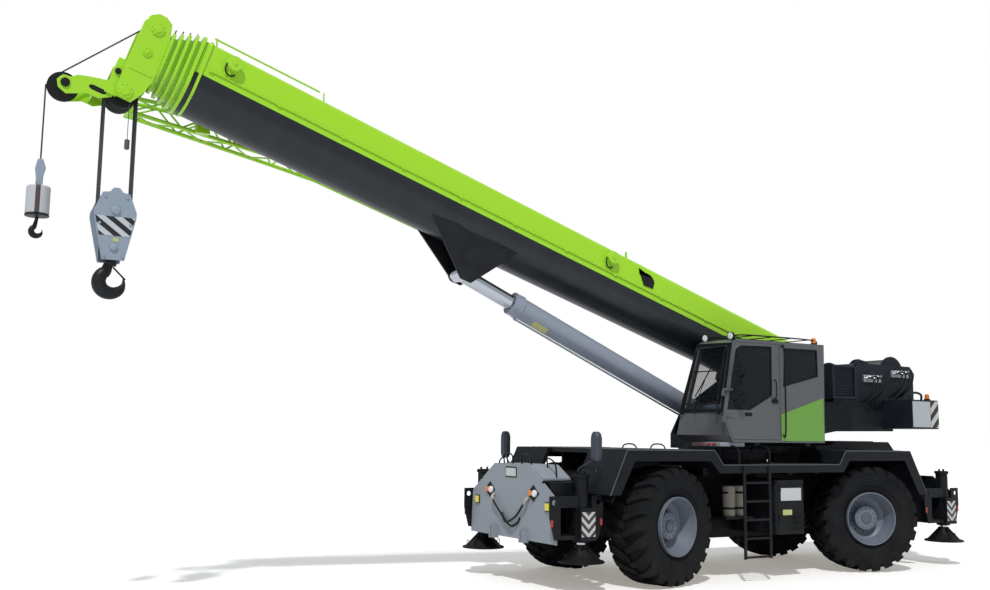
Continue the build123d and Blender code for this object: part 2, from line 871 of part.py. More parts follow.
cw_half = 1300
cw_bottom = 2550
cw_top = 3100
with BuildPart() as counterweight:
    with BuildSketch(Plane.XY.offset(cw_bottom)):
        with BuildLine():
            Polyline(
                (mid_x - 3750, cw_half),
                (mid_x - 4500, cw_half),
                (mid_x - 4660, cw_half - 160),
                (mid_x - 4660, 160 - cw_half),
                (mid_x - 4500, -cw_half),
                (mid_x - 3750, -cw_half),
                (mid_x - 3750, -side_plate_y),
                (tail_x, -side_plate_y),
                (tail_x, side_plate_y),
                (mid_x - 3750, side_plate_y),
                close=True,
            )
        make_face()
    extrude(amount=cw_top - cw_bottom)
write(counterweight.part, "counterweight")

# Boom sections: six-sided tubes that slide in one another
top_v = belly_v + boom_depth
nest = section_wall + slide_gap


def tube_face(shrink):
    w = boom_half_width - shrink
    t = top_v - shrink
    b = belly_v + shrink
    with BuildSketch() as face:
        with BuildLine():
            Polyline(
                (0, t), (w - 70, t), (w, t - 70), (w, b + 330), (w * 0.55, b + 40), (w * 0.3, b), (0, b),
            )
            mirror(about=Plane.YZ)
        make_face()
    return face.sketch


def ring(outer, inner, s0, s1):
    outer_face = tube_face(outer)
    inner_face = tube_face(inner)
    with BuildPart() as body:
        with BuildSketch(boom_section.offset(s0)):
            add(outer_face)
            add(inner_face, mode=Mode.SUBTRACT)
        extrude(amount=s1 - s0)
    return body.part


foot_boss = side_inner - running_gap
base_tube = ring(0, section_wall, boom_tail, collar_s)
base_collar = ring(-35, nest - seat_gap, collar_s - 130, collar_s)
bore_face = tube_face(section_wall)
with BuildPart() as boom_base:
    add(base_tube)
    add(base_collar)
    for hand in (1, -1):
        y0 = hand * (boom_half_width - section_wall)
        with BuildSketch(boom_side(hand * foot_boss if hand > 0 else y0)):
            with BuildLine():
                Polyline(
                    (boom_tail, 420), (boom_tail, 0), (-160, -170), (160, -170), (620, -60), (620, 420),
                    close=True,
                )
            make_face()
        extrude(amount=foot_boss - abs(y0))
    with BuildSketch(boom_side(0)):
        Circle(pin_radius + seat_gap)
    extrude(amount=side_plate_y, both=True, mode=Mode.SUBTRACT)
    # lift cylinder lugs under the belly
    for hand in (1, -1):
        with BuildSketch(boom_side(lug_y + 40 if hand > 0 else -lug_y)):
            with BuildLine():
                Polyline(
                    (lift_pin_s - 700, belly_v),
                    (lift_pin_s - 120, lift_pin_v - 130),
                    (lift_pin_s + 60, lift_pin_v - 130),
                    (lift_pin_s + 130, lift_pin_v - 60),
                    (lift_pin_s + 450, belly_v),
                    (lift_pin_s + 450, belly_v + 30),
                    (lift_pin_s - 700, belly_v + 30),
                    close=True,
                )
            make_face()
        extrude(amount=40)
    with BuildSketch(boom_section.offset(boom_tail - 10)):
        add(bore_face)
    extrude(amount=collar_s - 130 - boom_tail + 10, mode=Mode.SUBTRACT)
write(boom_base.part, "boom_base")

section_tail = boom_tail + 480
for number in (2, 3, 4, 5):
    step = number - 1
    front = collar_s + step * collar_step
    bore = step * nest + section_wall
    section_tube = ring(step * nest, bore, section_tail + step * 120, front)
    pad = bore if number == 5 else number * nest - seat_gap
    section_collar = ring(step * nest - 45, pad, front - collar_step + running_gap, front)
    with BuildPart() as section:
        add(section_tube)
        add(section_collar)
    write(section.part, "boom_section_%d" % number)

# Head, its sheaves and the folding nose
head_rear = collar_s + 4 * collar_step
head_half = boom_half_width - 4 * nest
head_plate = 40
lower_sheave = (12330, -230)
upper_sheave = (12250, 800)
sheave_radius = 200
with BuildPart() as boom_head:
    for hand in (1, -1):
        with BuildSketch(boom_side(head_half if hand > 0 else head_plate - head_half)):
            with BuildLine():
                Polyline(
                    (head_rear, 700),
                    (head_rear + 120, 980),
                    (head_rear + 290, 1000),
                    (head_rear + 400, 675),
                    (head_rear + 400, -230),
                    (lower_sheave[0] + 40, lower_sheave[1] - 100),
                    (lower_sheave[0] - 60, lower_sheave[1] - 100),
                    (head_rear + 60, -160),
                    (head_rear, 60),
                    close=True,
                )
            make_face()
        extrude(amount=head_plate)
    with BuildSketch(boom_section.offset(head_rear)):
        with Locations((0, 380)):
            Rectangle(2 * head_half, 560)
    extrude(amount=60)
    with BuildSketch(boom_section.offset(head_rear + 340)):
        with Locations((0, 300)):
            Rectangle(2 * head_half, 300)
    extrude(amount=60)
write(boom_head.part, "boom_head")


def sheave_stack(spot, radius, half, width):
    grooves = int(2 * half / width)
    edge = []
    for n in range(grooves):
        y = -half + n * width
        edge += [(y, radius), (y + 8, radius), (y + width / 2, radius - 32), (y + width - 8, radius)]
    with BuildPart() as stack:
        with BuildSketch(Plane(origin=boom_point(*spot), x_dir=(0, 1, 0), z_dir=(ca, 0, sa))):
            with BuildLine():
                Polyline((-half, 0), *edge, (half, radius), (half, 0), close=True)
            make_face()
        revolve(axis=Axis(boom_point(*spot), (0, 1, 0)))
    return stack.part


lower_stack = sheave_stack(lower_sheave, sheave_radius, 180, 72)
upper_stack = sheave_stack(upper_sheave, 180, 72, 72)
with BuildPart() as head_sheaves:
    add(lower_stack)
    add(upper_stack)
    for spot in (lower_sheave, upper_sheave):
        with BuildSketch(boom_side(0)):
            with Locations(spot):
                Circle(45)
        extrude(amount=head_half - head_plate, both=True)
write(head_sheaves.part, "head_sheaves")

nose_pin = (head_rear + 400, -120)
nose_sheave = (13040, -454)
nose_half = 200
with BuildPart() as aux_nose:
    for hand in (1, -1):
        with BuildSketch(boom_side(nose_half + 20 if hand > 0 else -nose_half)):
            with BuildLine():
                Polyline(
                    (nose_pin[0], 200),
                    (nose_pin[0] + 90, 200),
                    (nose_sheave[0] + 60, nose_sheave[1] + 60),
                    (nose_sheave[0] + 60, nose_sheave[1] - 60),
                    (nose_sheave[0] - 60, nose_sheave[1] - 60),
                    (nose_pin[0], -190),
                    close=True,
                )
            make_face()
        extrude(amount=20)
    with BuildSketch(boom_section.offset(nose_pin[0])):
        with Locations((0, 100)):
            Rectangle(2 * head_half, 200)
    extrude(amount=30)
    with BuildSketch(boom_side(0)):
        with Locations(nose_sheave):
            Circle(30)
    extrude(amount=nose_half + 20, both=True)
    with BuildSketch(boom_side(0)):
        with Locations(nose_sheave):
            Circle(sheave_radius)
    extrude(amount=20, both=True)
write(aux_nose.part, "aux_nose")

# Lattice jib stowed along the right side of the base section
jib_s0 = 1500
jib_s1 = 11200
jib_y0 = -(boom_half_width + 90)
jib_depth = 480
jib_v0 = -240
jib_v1 = 330
chord = 60
bays = 14
with BuildPart() as jib:
    for y in (jib_y0, jib_y0 - jib_depth):
        for v in (jib_v0, jib_v1):
            with BuildSketch(boom_section.offset(jib_s0)):
                with Locations((y, v)):
                    Rectangle(chord, chord)
            extrude(amount=jib_s1 - jib_s0)
    bay = (jib_s1 - jib_s0) / bays
    for y in (jib_y0, jib_y0 - jib_depth):
        for n in range(bays):
            low, high = (jib_v0, jib_v1) if n % 2 else (jib_v1, jib_v0)
            s0 = jib_s0 + n * bay
            with BuildSketch(boom_side(y)):
                with BuildLine():
                    Polyline(
                        (s0, low - 20), (s0 + 40, low - 20), (s0 + bay + 40, high + 20), (s0 + bay, high + 20),
                        close=True,
                    )
                make_face()
            extrude(amount=14, both=True)
    for n in range(bays + 1):
        s0 = jib_s0 + n * bay
        for v in (jib_v0, jib_v1):
            with BuildSketch(boom_section.offset(min(s0, jib_s1 - 40))):
                with Locations((jib_y0 - jib_depth / 2, v)):
                    Rectangle(jib_depth, 36)
            extrude(amount=36)
    for s in (jib_s0 + 2 * bay, jib_s0 + 11 * bay):
        with BuildSketch(boom_section.offset(s)):
            with Locations((-boom_half_width - 50, jib_v1)):
                Rectangle(100, 90)
        extrude(amount=160)
write(jib.part, "jib")

# Lift cylinder
rod_end = boom_point(lift_pin_s, lift_pin_v)
lift_dx = rod_end[0] - lift_foot_x
lift_dz = rod_end[2] - lift_foot_z
lift_length = hypot(lift_dx, lift_dz)
lift_dir = (lift_dx / lift_length, 0, lift_dz / lift_length)
lift_plane = Plane(origin=(lift_foot_x, 0, lift_foot_z), x_dir=(0, 1, 0), z_dir=lift_dir)
with BuildPart() as lift_barrel:
    with BuildSketch(side(0)):
        with Locations((lift_foot_x, lift_foot_z)):
            Circle(190)
    extrude(amount=foot_width, both=True)
    with BuildSketch(lift_plane):
        Circle(barrel_radius)
    extrude(amount=barrel_length)
    with BuildSketch(lift_plane.offset(barrel_length - 150)):
        Circle(barrel_radius + 14)
    extrude(amount=150)
    with BuildSketch(lift_plane.offset(1700)):
        Circle(rod_radius + seat_gap)
    extrude(amount=barrel_length, mode=Mode.SUBTRACT)
    with BuildSketch(side(0)):
        with Locations((lift_foot_x, lift_foot_z)):
            Circle(foot_pin_radius + seat_gap)
    extrude(amount=foot_width + 10, both=True, mode=Mode.SUBTRACT)
write(lift_barrel.part, "lift_barrel")

with BuildPart() as lift_rod:
    with BuildSketch(lift_plane.offset(2300)):
        Circle(rod_radius)
    extrude(amount=lift_length - 2300)
    with BuildSketch(side(0)):
        with Locations((rod_end[0], rod_end[2])):
            Circle(eye_radius)
    extrude(amount=lug_y - running_gap, both=True)
write(lift_rod.part, "lift_rod")

# Main block on its rope falls, and the ball hook on the nose
main_x, main_y, main_z = boom_point(*lower_sheave)
rope_radius = 11
block_pin_z = 5288
fall_offset = sheave_radius + rope_radius + seat_gap
with BuildPart() as main_falls:
    for sx in (-1, 1):
        for y in (-108, -36, 36, 108):
            with BuildSketch(Plane.XY.offset(block_pin_z)):
                with Locations((main_x + sx * fall_offset, y)):
                    RegularPolygon(rope_radius, 6)
            extrude(amount=main_z - block_pin_z)
write(main_falls.part, "main_falls")

with BuildPart() as main_block:
    for y in (-170, 170):
        with BuildSketch(side(y + 15)):
            with BuildLine():
                Polyline(
                    (main_x - 200, block_pin_z + 230), (main_x + 200, block_pin_z + 230),
                    (main_x + 290, block_pin_z + 60), (main_x + 290, block_pin_z - 480),
                    (main_x + 160, block_pin_z - 700), (main_x - 160, block_pin_z - 700),
                    (main_x - 290, block_pin_z - 480), (main_x - 290, block_pin_z + 60), close=True,
                )
            make_face()
        extrude(amount=30)
    with BuildSketch(side(0)):
        with Locations((main_x, block_pin_z)):
            Circle(sheave_radius)
    extrude(amount=155, both=True)
    with BuildSketch(side(0)):
        with Locations((main_x, block_pin_z - 560)):
            Rectangle(300, 200)
    extrude(amount=155, both=True)
write(main_block.part, "main_block")

with BuildPart() as main_hook:
    with BuildSketch(side(0)):
        with Locations((main_x, block_pin_z - 860)):
            Circle(190)
            Circle(95, mode=Mode.SUBTRACT)
        with Locations((main_x + 120, block_pin_z - 780)):
            Rectangle(260, 150, mode=Mode.SUBTRACT)
        with Locations((main_x, block_pin_z - 710)):
            Rectangle(80, 100)
    extrude(amount=45, both=True)
write(main_hook.part, "main_hook")

aux_x, aux_y, aux_z = boom_point(*nose_sheave)
aux_rope_x = aux_x + sheave_radius + rope_radius + seat_gap
with BuildPart() as ball_hook:
    with BuildSketch(Plane.XY.offset(5450)):
        with Locations((aux_rope_x, 0)):
            RegularPolygon(rope_radius, 6)
    extrude(amount=aux_z - 5450)
    with BuildSketch(side(0)):
        with BuildLine():
            Polyline(
                (aux_rope_x, 5900), (aux_rope_x + 40, 5900), (aux_rope_x + 45, 5600), (aux_rope_x + 60, 5520),
                (aux_rope_x + 150, 5480), (aux_rope_x + 150, 5150), (aux_rope_x + 60, 5100),
                (aux_rope_x + 30, 5040), (aux_rope_x, 5040), close=True,
            )
        make_face()
    revolve(axis=Axis((aux_rope_x, 0, 0), (0, 0, 1)))
    with BuildSketch(side(0)):
        with Locations((aux_rope_x, 4930)):
            Circle(110)
            Circle(55, mode=Mode.SUBTRACT)
        with Locations((aux_rope_x + 70, 4970)):
            Rectangle(140, 70, mode=Mode.SUBTRACT)
        with Locations((aux_rope_x, 5030)):
            Rectangle(50, 60)
    extrude(amount=25, both=True)
write(ball_hook.part, "ball_hook")

print("lift length %.1f" % lift_length)
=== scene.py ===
import math

import bmesh
import bpy
from mathutils import Matrix, Vector


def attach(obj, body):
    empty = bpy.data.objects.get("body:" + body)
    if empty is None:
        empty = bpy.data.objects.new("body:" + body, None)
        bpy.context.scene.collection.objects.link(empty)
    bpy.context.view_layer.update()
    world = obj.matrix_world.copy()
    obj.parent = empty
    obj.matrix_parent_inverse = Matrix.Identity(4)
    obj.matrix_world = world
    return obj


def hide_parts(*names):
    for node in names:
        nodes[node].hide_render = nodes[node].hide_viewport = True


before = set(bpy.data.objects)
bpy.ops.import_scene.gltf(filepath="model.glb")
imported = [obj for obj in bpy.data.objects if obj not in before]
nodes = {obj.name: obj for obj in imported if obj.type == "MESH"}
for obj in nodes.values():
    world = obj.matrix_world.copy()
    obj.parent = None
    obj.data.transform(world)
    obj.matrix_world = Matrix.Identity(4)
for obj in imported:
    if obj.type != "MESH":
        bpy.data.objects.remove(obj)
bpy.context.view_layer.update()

# The yard: a pale floor that keeps the crane's shadow, an open sky that the camera
# sees as white, and one high sun from the crane's front left. The camera stands
# off the crane's left front corner at eye height, looking slightly up.
mid_x = -3.426
photo_width = 990
focal_pixels = 1055.5
sensor_width = 36
camera_spot = (mid_x + 13.188, 14.851, 2.330)
sun_way = (0.42, 0.55, 1.0)

scene = bpy.context.scene
scene.view_settings.view_transform = "Standard"

bpy.ops.mesh.primitive_plane_add(size=400, location=(0, 0, -0.002))
yard = bpy.context.object
yard.name = "yard"

camera_data = bpy.data.cameras.new("camera")
camera_data.sensor_width = sensor_width
camera_data.lens = focal_pixels / photo_width * sensor_width
camera_data.shift_y = 0.0036
camera_data.clip_end = 600
camera = bpy.data.objects.new("camera", camera_data)
scene.collection.objects.link(camera)
heading, pitch, roll = math.radians(60.188), math.radians(7.378), math.radians(0.694)
look = Vector((-math.cos(heading) * math.cos(pitch), -math.sin(heading) * math.cos(pitch), math.sin(pitch)))
level = Vector((-math.sin(heading), math.cos(heading), 0))
upright = level.cross(look)
camera_right = level * math.cos(roll) + upright * math.sin(roll)
camera_up = upright * math.cos(roll) - level * math.sin(roll)
camera.matrix_world = Matrix.Translation(camera_spot) @ Matrix(
    (camera_right, camera_up, -look)
).transposed().to_4x4()
scene.camera = camera

sun_data = bpy.data.lights.new("sun", "SUN")
sun_data.energy = 2.3
sun_data.angle = math.radians(2.5)
sun = bpy.data.objects.new("sun", sun_data)
sun.matrix_world = Vector(sun_way).to_track_quat("Z", "Y").to_matrix().to_4x4()
scene.collection.objects.link(sun)

world = bpy.data.worlds.new("sky")
scene.world = world
world.use_nodes = True
sky = world.node_tree
sky_light = sky.nodes["Background"]
sky_light.inputs["Color"].default_value = (0.86, 0.93, 1.0, 1)
sky_light.inputs["Strength"].default_value = 0.5
sky_seen = sky.nodes.new("ShaderNodeBackground")
sky_seen.inputs["Color"].default_value = (1, 1, 1, 1)
ray = sky.nodes.new("ShaderNodeLightPath")
sky_mix = sky.nodes.new("ShaderNodeMixShader")
seen = sky.nodes.new("ShaderNodeMath")
seen.operation = "MAXIMUM"
sky.links.new(ray.outputs["Is Camera Ray"], seen.inputs[0])
sky.links.new(ray.outputs["Is Transmission Ray"], seen.inputs[1])
sky.links.new(seen.outputs[0], sky_mix.inputs[0])
sky.links.new(sky_light.outputs[0], sky_mix.inputs[1])
sky.links.new(sky_seen.outputs[0], sky_mix.inputs[2])
sky.links.new(sky_mix.outputs[0], sky.nodes["World Output"].inputs["Surface"])

# Tyres: deep earth-mover casings of black rubber with slanting lugs, staggered from
# one shoulder to the other and running over it. They are pressed on to the rims.


class Wire:
    """A shader socket on which Python's operators add Math nodes."""

    def __init__(self, finish, socket):
        self.finish = finish
        self.socket = socket

    def maths(self, operation, first, second):
        return self.finish.node("ShaderNodeMath", {"operation": operation}, {0: first, 1: second})

    def __add__(self, other):
        return self.maths("ADD", self, other)

    __radd__ = __add__

    def __sub__(self, other):
        return self.maths("SUBTRACT", self, other)

    def __rsub__(self, other):
        return self.maths("SUBTRACT", other, self)

    def __mul__(self, other):
        return self.maths("MULTIPLY", self, other)

    __rmul__ = __mul__

    def __mod__(self, other):
        return self.maths("FLOORED_MODULO", self, other)

    def __abs__(self):
        return self.maths("ABSOLUTE", self, 0)

    def __gt__(self, other):
        return self.maths("GREATER_THAN", self, other)

    def __lt__(self, other):
        return self.maths("LESS_THAN", self, other)


class Finish:
    """A paint, metal, rubber or glass, whose nodes are wired one call at a time."""

    def __init__(self, name, color, roughness, metallic=0.0, coat=0.0):
        self.material = bpy.data.materials.new(name)
        self.material.use_nodes = True
        self.tree = self.material.node_tree
        self.surface = self.tree.nodes["Principled BSDF"]
        self.color = (*color, 1)
        self.roughness = roughness
        self.set("Base Color", self.color)
        self.set("Roughness", roughness)
        self.set("Metallic", metallic)
        self.set("Coat Weight", coat)
        self.set("Coat Roughness", 0.12)
        self.set("Specular IOR Level", 0.2 if max(color) < 0.05 else 0.5)
        self.material.diffuse_color = self.color

    def set(self, socket, value):
        if isinstance(value, Wire):
            self.tree.links.new(value.socket, self.surface.inputs[socket])
        else:
            self.surface.inputs[socket].default_value = value

    def node(self, kind, settings, inputs, out=0):
        made = self.tree.nodes.new(kind)
        for key, value in settings.items():
            setattr(made, key, value)
        for key, value in inputs.items():
            if isinstance(value, Wire):
                self.tree.links.new(value.socket, made.inputs[key])
            else:
                made.inputs[key].default_value = value
        return Wire(self, made.outputs[out])

    def place(self):
        return self.node("ShaderNodeTexCoord", {}, {}, "Object")

    def axes(self):
        spot = self.place()
        return [self.node("ShaderNodeSeparateXYZ", {}, {0: spot}, n) for n in range(3)]

    def noise(self, scale, detail=4.0):
        return self.node(
            "ShaderNodeTexNoise", {}, {"Vector": self.place(), "Scale": scale, "Detail": detail}, 0
        )

    def mix(self, factor, first, second):
        return self.node("ShaderNodeMix", {"data_type": "RGBA"}, {0: factor, 6: first, 7: second}, 2)

    def clamp(self, value):
        return self.node("ShaderNodeClamp", {}, {0: value})

    def bump(self, height, distance):
        return self.node("ShaderNodeBump", {}, {"Height": height, "Distance": distance, "Strength": 0.6})

    def weather(self, base=None, dust=0.12, top=2.4, grain=0.0):
        """Road dust that thickens low down, with an uneven gloss and a fine grain."""
        height = self.axes()[2]
        dust_colour = (0.2, 0.185, 0.16, 1)
        cloud = self.noise(3.1)
        fine = self.noise(41.0)
        low = self.clamp((top - height) * (1 / top))
        amount = self.clamp((cloud * 1.3 - 0.35) * (low * 0.8 + 0.25) * (dust * 2.2))
        self.set("Base Color", self.mix(amount, base or self.color, dust_colour))
        self.set("Roughness", self.clamp(amount * 0.5 + fine * 0.12 + (self.roughness - 0.06)))
        if grain:
            self.set("Normal", self.bump(fine, grain))
        return self


class Piece:
    """One dressed piece: solids are added to one mesh, which then rides on a body."""

    def __init__(self, name, finish, body, slot):
        self.name, self.finish, self.body, self.slot = name, finish, body, slot
        self.mesh = bmesh.new()

    def loops(self, rings, closed=False, capped=True):
        """Skin a row of point rings, each with as many points as the next."""
        verts = [[self.mesh.verts.new(point) for point in ring] for ring in rings]
        pairs = list(zip(verts, verts[1:] + verts[:1])) if closed else list(zip(verts, verts[1:]))
        for one, two in pairs:
            for n in range(len(one)):
                m = (n + 1) % len(one)
                self.mesh.faces.new((one[n], one[m], two[m], two[n]))
        if capped and not closed:
            self.mesh.faces.new(list(reversed(verts[0])))
            self.mesh.faces.new(verts[-1])

    def plate(self, outline, spot, across, up, thick):
        """A flat plate: an outline in the plane of across and up, thickened to their normal."""
        spot, across, up = Vector(spot), Vector(across), Vector(up)
        normal = across.cross(up)
        rings = [[spot + across * u + up * v + normal * n for u, v in outline] for n in (0, thick)]
        self.loops(rings)

    def box(self, low, high):
        """An upright box between two opposite corners, given in any order."""
        (x0, x1), (y0, y1), (z0, z1) = (sorted(ends) for ends in zip(low, high))
        self.plate([(x0, y0), (x1, y0), (x1, y1), (x0, y1)], (0, 0, z0), (1, 0, 0), (0, 1, 0), z1 - z0)

    def turned(self, profile, spot, axis, steps=24, closed=False):
        """A turned form: (along, radius) points swung round an axis through spot."""
        axis = Vector(axis).normalized()
        aside = axis.orthogonal().normalized()
        other = axis.cross(aside)
        spot = Vector(spot)
        rings = []
        for along, radius in profile:
            ring = []
            for n in range(steps):
                turn = 2 * math.pi * n / steps
                ring.append(
                    spot + axis * along + (aside * math.cos(turn) + other * math.sin(turn)) * radius
                )
            rings.append(ring)
        self.loops(rings, closed=closed)

    def bolt_ring(self, centre, axis, aside, up, ring_radius, count, reach, size):
        """Hexagon heads round a circle, from reach[0] to reach[1] along the axis."""
        aside, up = Vector(aside), Vector(up)
        for n in range(count):
            turn = 2 * math.pi * n / count
            spot = centre + (aside * math.cos(turn) + up * math.sin(turn)) * ring_radius
            self.turned([(along, size) for along in reach], spot, axis, 6)

    def rod(self, start, end, radius, steps=10):
        """A straight round bar from start to end."""
        start, end = Vector(start), Vector(end)
        self.turned([(0, radius), ((end - start).length, radius)], start, end - start, steps)

    def tube(self, points, radii, steps=8, bends=5):
        """A bent tube through the points, its radius one value or one for each point."""
        points = [Vector(p) for p in points]
        if not isinstance(radii, (list, tuple)):
            radii = [radii] * len(points)
        path, sizes = [], []
        for n in range(len(points) - 1):
            before, here = points[max(n - 1, 0)], points[n]
            there, after = points[n + 1], points[min(n + 2, len(points) - 1)]
            for k in range(bends):
                t = k / bends
                path.append(
                    0.5
                    * (
                        2 * here
                        + (there - before) * t
                        + (2 * before - 5 * here + 4 * there - after) * t * t
                        + (3 * here - before - 3 * there + after) * t * t * t
                    )
                )
                sizes.append(radii[n] + (radii[n + 1] - radii[n]) * t)
        path.append(points[-1])
        sizes.append(radii[-1])
        aside = (path[1] - path[0]).orthogonal().normalized()
        rings = []
        for n, point in enumerate(path):
            along = (path[min(n + 1, len(path) - 1)] - path[max(n - 1, 0)]).normalized()
            aside = (aside - along * aside.dot(along)).normalized()
            other = along.cross(aside)
            ring = []
            for k in range(steps):
                turn = 2 * math.pi * k / steps
                ring.append(point + (aside * math.cos(turn) + other * math.sin(turn)) * sizes[n])
            rings.append(ring)
        self.loops(rings)

    def fit(self, bevel=0.0, smooth=32, replaces=(), origin=None):
        """Close the mesh, round its edges, and hand it to its body."""
        bmesh.ops.recalc_face_normals(self.mesh, faces=self.mesh.faces)
        data = bpy.data.meshes.new(self.name)
        if origin is not None:
            bmesh.ops.translate(self.mesh, vec=-Vector(origin), verts=self.mesh.verts)
        self.mesh.to_mesh(data)
        self.mesh.free()
        made = bpy.data.objects.new(self.name, data)
        scene.collection.objects.link(made)
        if origin is not None:
            made.matrix_world = Matrix.Translation(origin)
        data.materials.append(self.finish.material)
        if bevel:
            edge = made.modifiers.new("edge", "BEVEL")
            edge.width = bevel
            edge.segments = 2
            edge.limit_method = "ANGLE"
            edge.angle_limit = math.radians(40)
        for face in data.polygons:
            face.use_smooth = True
        data.set_sharp_from_angle(angle=math.radians(smooth))
        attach(made, self.body)
        if replaces:
            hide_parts(*replaces)
        return made


tyre_radius = 0.935
kingpin_y = 2.545 / 2 - 0.2
kingpin_offset = 0.2
corners = {
    "fl": (mid_x + 2.357, 1, 13.6),
    "fr": (mid_x + 2.357, -1, 13.6),
    "rl": (mid_x - 2.378, 1, -19.8),
    "rr": (mid_x - 2.378, -1, -19.8),
}
tyre_rubber = Finish("tyre_rubber", (0.004, 0.0045, 0.0055), 0.8)
tyre_rubber.weather(dust=0.05, top=2.0, grain=0.004)
casing = (
    (-0.29, 0.449), (-0.305, 0.475), (-0.335, 0.53), (-0.35, 0.585), (-0.362, 0.592), (-0.364, 0.606),
    (-0.362, 0.68), (-0.366, 0.76), (-0.355, 0.82), (-0.335, 0.855), (-0.29, 0.874), (-0.15, 0.882),
    (0, 0.885),
)
lug_path = (
    ((-0.015, 0.933), (-0.015, 0.87), -0.105, 0.046),
    ((0.16, 0.934), (0.16, 0.87), -0.03, 0.054),
    ((0.29, 0.927), (0.28, 0.86), 0.04, 0.072),
    ((0.348, 0.908), (0.32, 0.845), 0.06, 0.08),
    ((0.371, 0.865), (0.335, 0.82), 0.066, 0.08),
    ((0.372, 0.785), (0.345, 0.77), 0.062, 0.066),
)
lugs_around = 22
lug_flare = 0.008


def wheel_frame(kx, hand, steer):
    """A steered wheel's centre, its axle line outwards and its way ahead."""
    out = Vector((-math.sin(math.radians(steer)) * hand, math.cos(math.radians(steer)) * hand, 0))
    centre = Vector((kx, hand * kingpin_y, tyre_radius)) + out * kingpin_offset
    return centre, out, out.cross(Vector((0, 0, 1)))


for corner, (kx, hand, steer) in corners.items():
    centre, out, ahead = wheel_frame(kx, hand, steer)

    def on_wheel(along, radius, turn):
        spoke = ahead * math.cos(turn) + Vector((0, 0, 1)) * math.sin(turn)
        return centre + out * along + spoke * radius

    tyre = Piece("lugged_tyre_" + corner, tyre_rubber, "wheel_" + corner, "tyre_black")
    around = list(casing) + [(-along, radius) for along, radius in reversed(casing[:-1])]
    tyre.turned(around, centre, out, 96, closed=True)
    for side in (1, -1):
        for n in range(lugs_around):
            start = 2 * math.pi * (n + (side - 1) / 4) / lugs_around
            rings = []
            for top, foot, skew, half in lug_path:
                rings.append(
                    [
                        on_wheel(side * a, r, start + hand * (skew + t) / r)
                        for (a, r), t in (
                            (foot, -half - lug_flare),
                            (top, -half),
                            (top, half),
                            (foot, half + lug_flare),
                        )
                    ]
                )
            tyre.loops(rings)
    tyre.fit(replaces=["tyre_" + corner])

# Rims: dished steel wheels with a ring of nuts round a planetary hub, whose cover has
# its own small bolts and a drain plug. Painted blue-grey and dusty.
rim_grey = Finish("rim_grey", (0.13, 0.15, 0.19), 0.45).weather(dust=0.22)
bolt_steel = Finish("bolt_steel", (0.11, 0.125, 0.155), 0.4, metallic=0.4)


def paint(finish, *names):
    """Put a finish on CAD nodes that show just as the frame brings them."""
    for name in names:
        nodes[name].data.materials.clear()
        nodes[name].data.materials.append(finish.material)


paint(rim_grey, *("rim_" + corner for corner in corners))
for corner, (kx, hand, steer) in corners.items():
    centre, out, ahead = wheel_frame(kx, hand, steer)
    nuts = Piece("wheel_nuts_" + corner, bolt_steel, "wheel_" + corner, "rim_grey")
    for count, ring_radius, seat, high, size in (
        (20, 0.246, 0.055, 0.036, 0.017), (12, 0.165, 0.18, 0.016, 0.011)
    ):
        nuts.bolt_ring(centre + out * seat, out, ahead, (0, 0, 1), ring_radius, count, (0, high), size)
    nuts.turned([(0.18, 0.1), (0.2, 0.095), (0.212, 0.06), (0.214, 0.03), (0.214, 0.001)], centre, out, 24)
    nuts.fit()

# Deck mirrors: slim plastic shells moulded in one with their rounded backs, each clamped
# on a bent steel tube. The tube is bolted to the outrigger box at a front corner.
mirror_shell = Finish("mirror_shell", (0.03, 0.04, 0.06), 0.45).weather(dust=0.1, top=3.0)
front_box_x = mid_x + 3.98
shell_line = ((-0.05, -0.09), (0.02, -0.1), (0.06, -0.06), (0.06, 0.06), (0.02, 0.1), (-0.05, 0.09))
shell_rings = ((1.94, 0.5), (1.96, 0.8), (2.02, 1.0), (2.3, 1.0), (2.37, 0.85), (2.405, 0.5))
deck_mirrors = Piece("deck_mirror_shells", mirror_shell, "chassis", "blue_grey_plastic")
for hand in (1, -1):
    x = front_box_x - 0.34
    deck_mirrors.tube(
        [
            (x + 0.1, hand * 1.04, 1.62), (x + 0.1, hand * 1.06, 1.82),
            (x + 0.04, hand * 1.24, 1.92), (x, hand * 1.36, 2.0), (x, hand * 1.38, 2.12),
        ],
        0.015,
    )
    deck_mirrors.loops(
        [
            [(x + dx * reach, hand * (1.38 + dy * reach), z) for dx, dy in shell_line]
            for z, reach in shell_rings
        ]
    )
deck_mirrors.fit(bevel=0.008, replaces=["deck_mirrors"])

# Carrier: a welded box frame under folded plate decks, all satin black, with road
# dust low down. A grey rod along each deck edge is a painted highlight where the edge catches the light.
carrier_black = Finish("carrier_black", (0.0045, 0.0055, 0.0075), 0.42).weather(dust=0.05)
frame_black = Finish("frame_black", (0.003, 0.0036, 0.0045), 0.55).weather(dust=0.06)
engine_iron = Finish("engine_iron", (0.06, 0.06, 0.065), 0.6).weather(dust=0.3)
tube_black = Finish("tube_black", (0.008, 0.008, 0.01), 0.35)
edge_grey = Finish("edge_grey", (0.07, 0.075, 0.085), 0.4).weather(dust=0.15)
paint(frame_black, "carrier_frame", "axles", *("knuckle_" + corner for corner in corners))
paint(carrier_black, "carrier_deck", "engine_hood", "rear_shield")
paint(engine_iron, "engine_block")
deck_top = 2.136
step_top = 1.9
deck_half = 1.64
deck_edge = [
    (mid_x + 3.56, 1.445), (mid_x + 3.234, deck_top), (mid_x + 1.479, deck_top), (mid_x + 1.292, step_top),
    (mid_x - 1.385, step_top), (mid_x - 1.545, deck_top), (mid_x - 3.223, deck_top), (mid_x - 3.66, 1.345),
]
# The grey rods along the deck edges are a painted highlight: their colour stands in for light on the edges.
trim = Piece("deck_edge_painted_highlights", edge_grey, "chassis", "carrier_black")
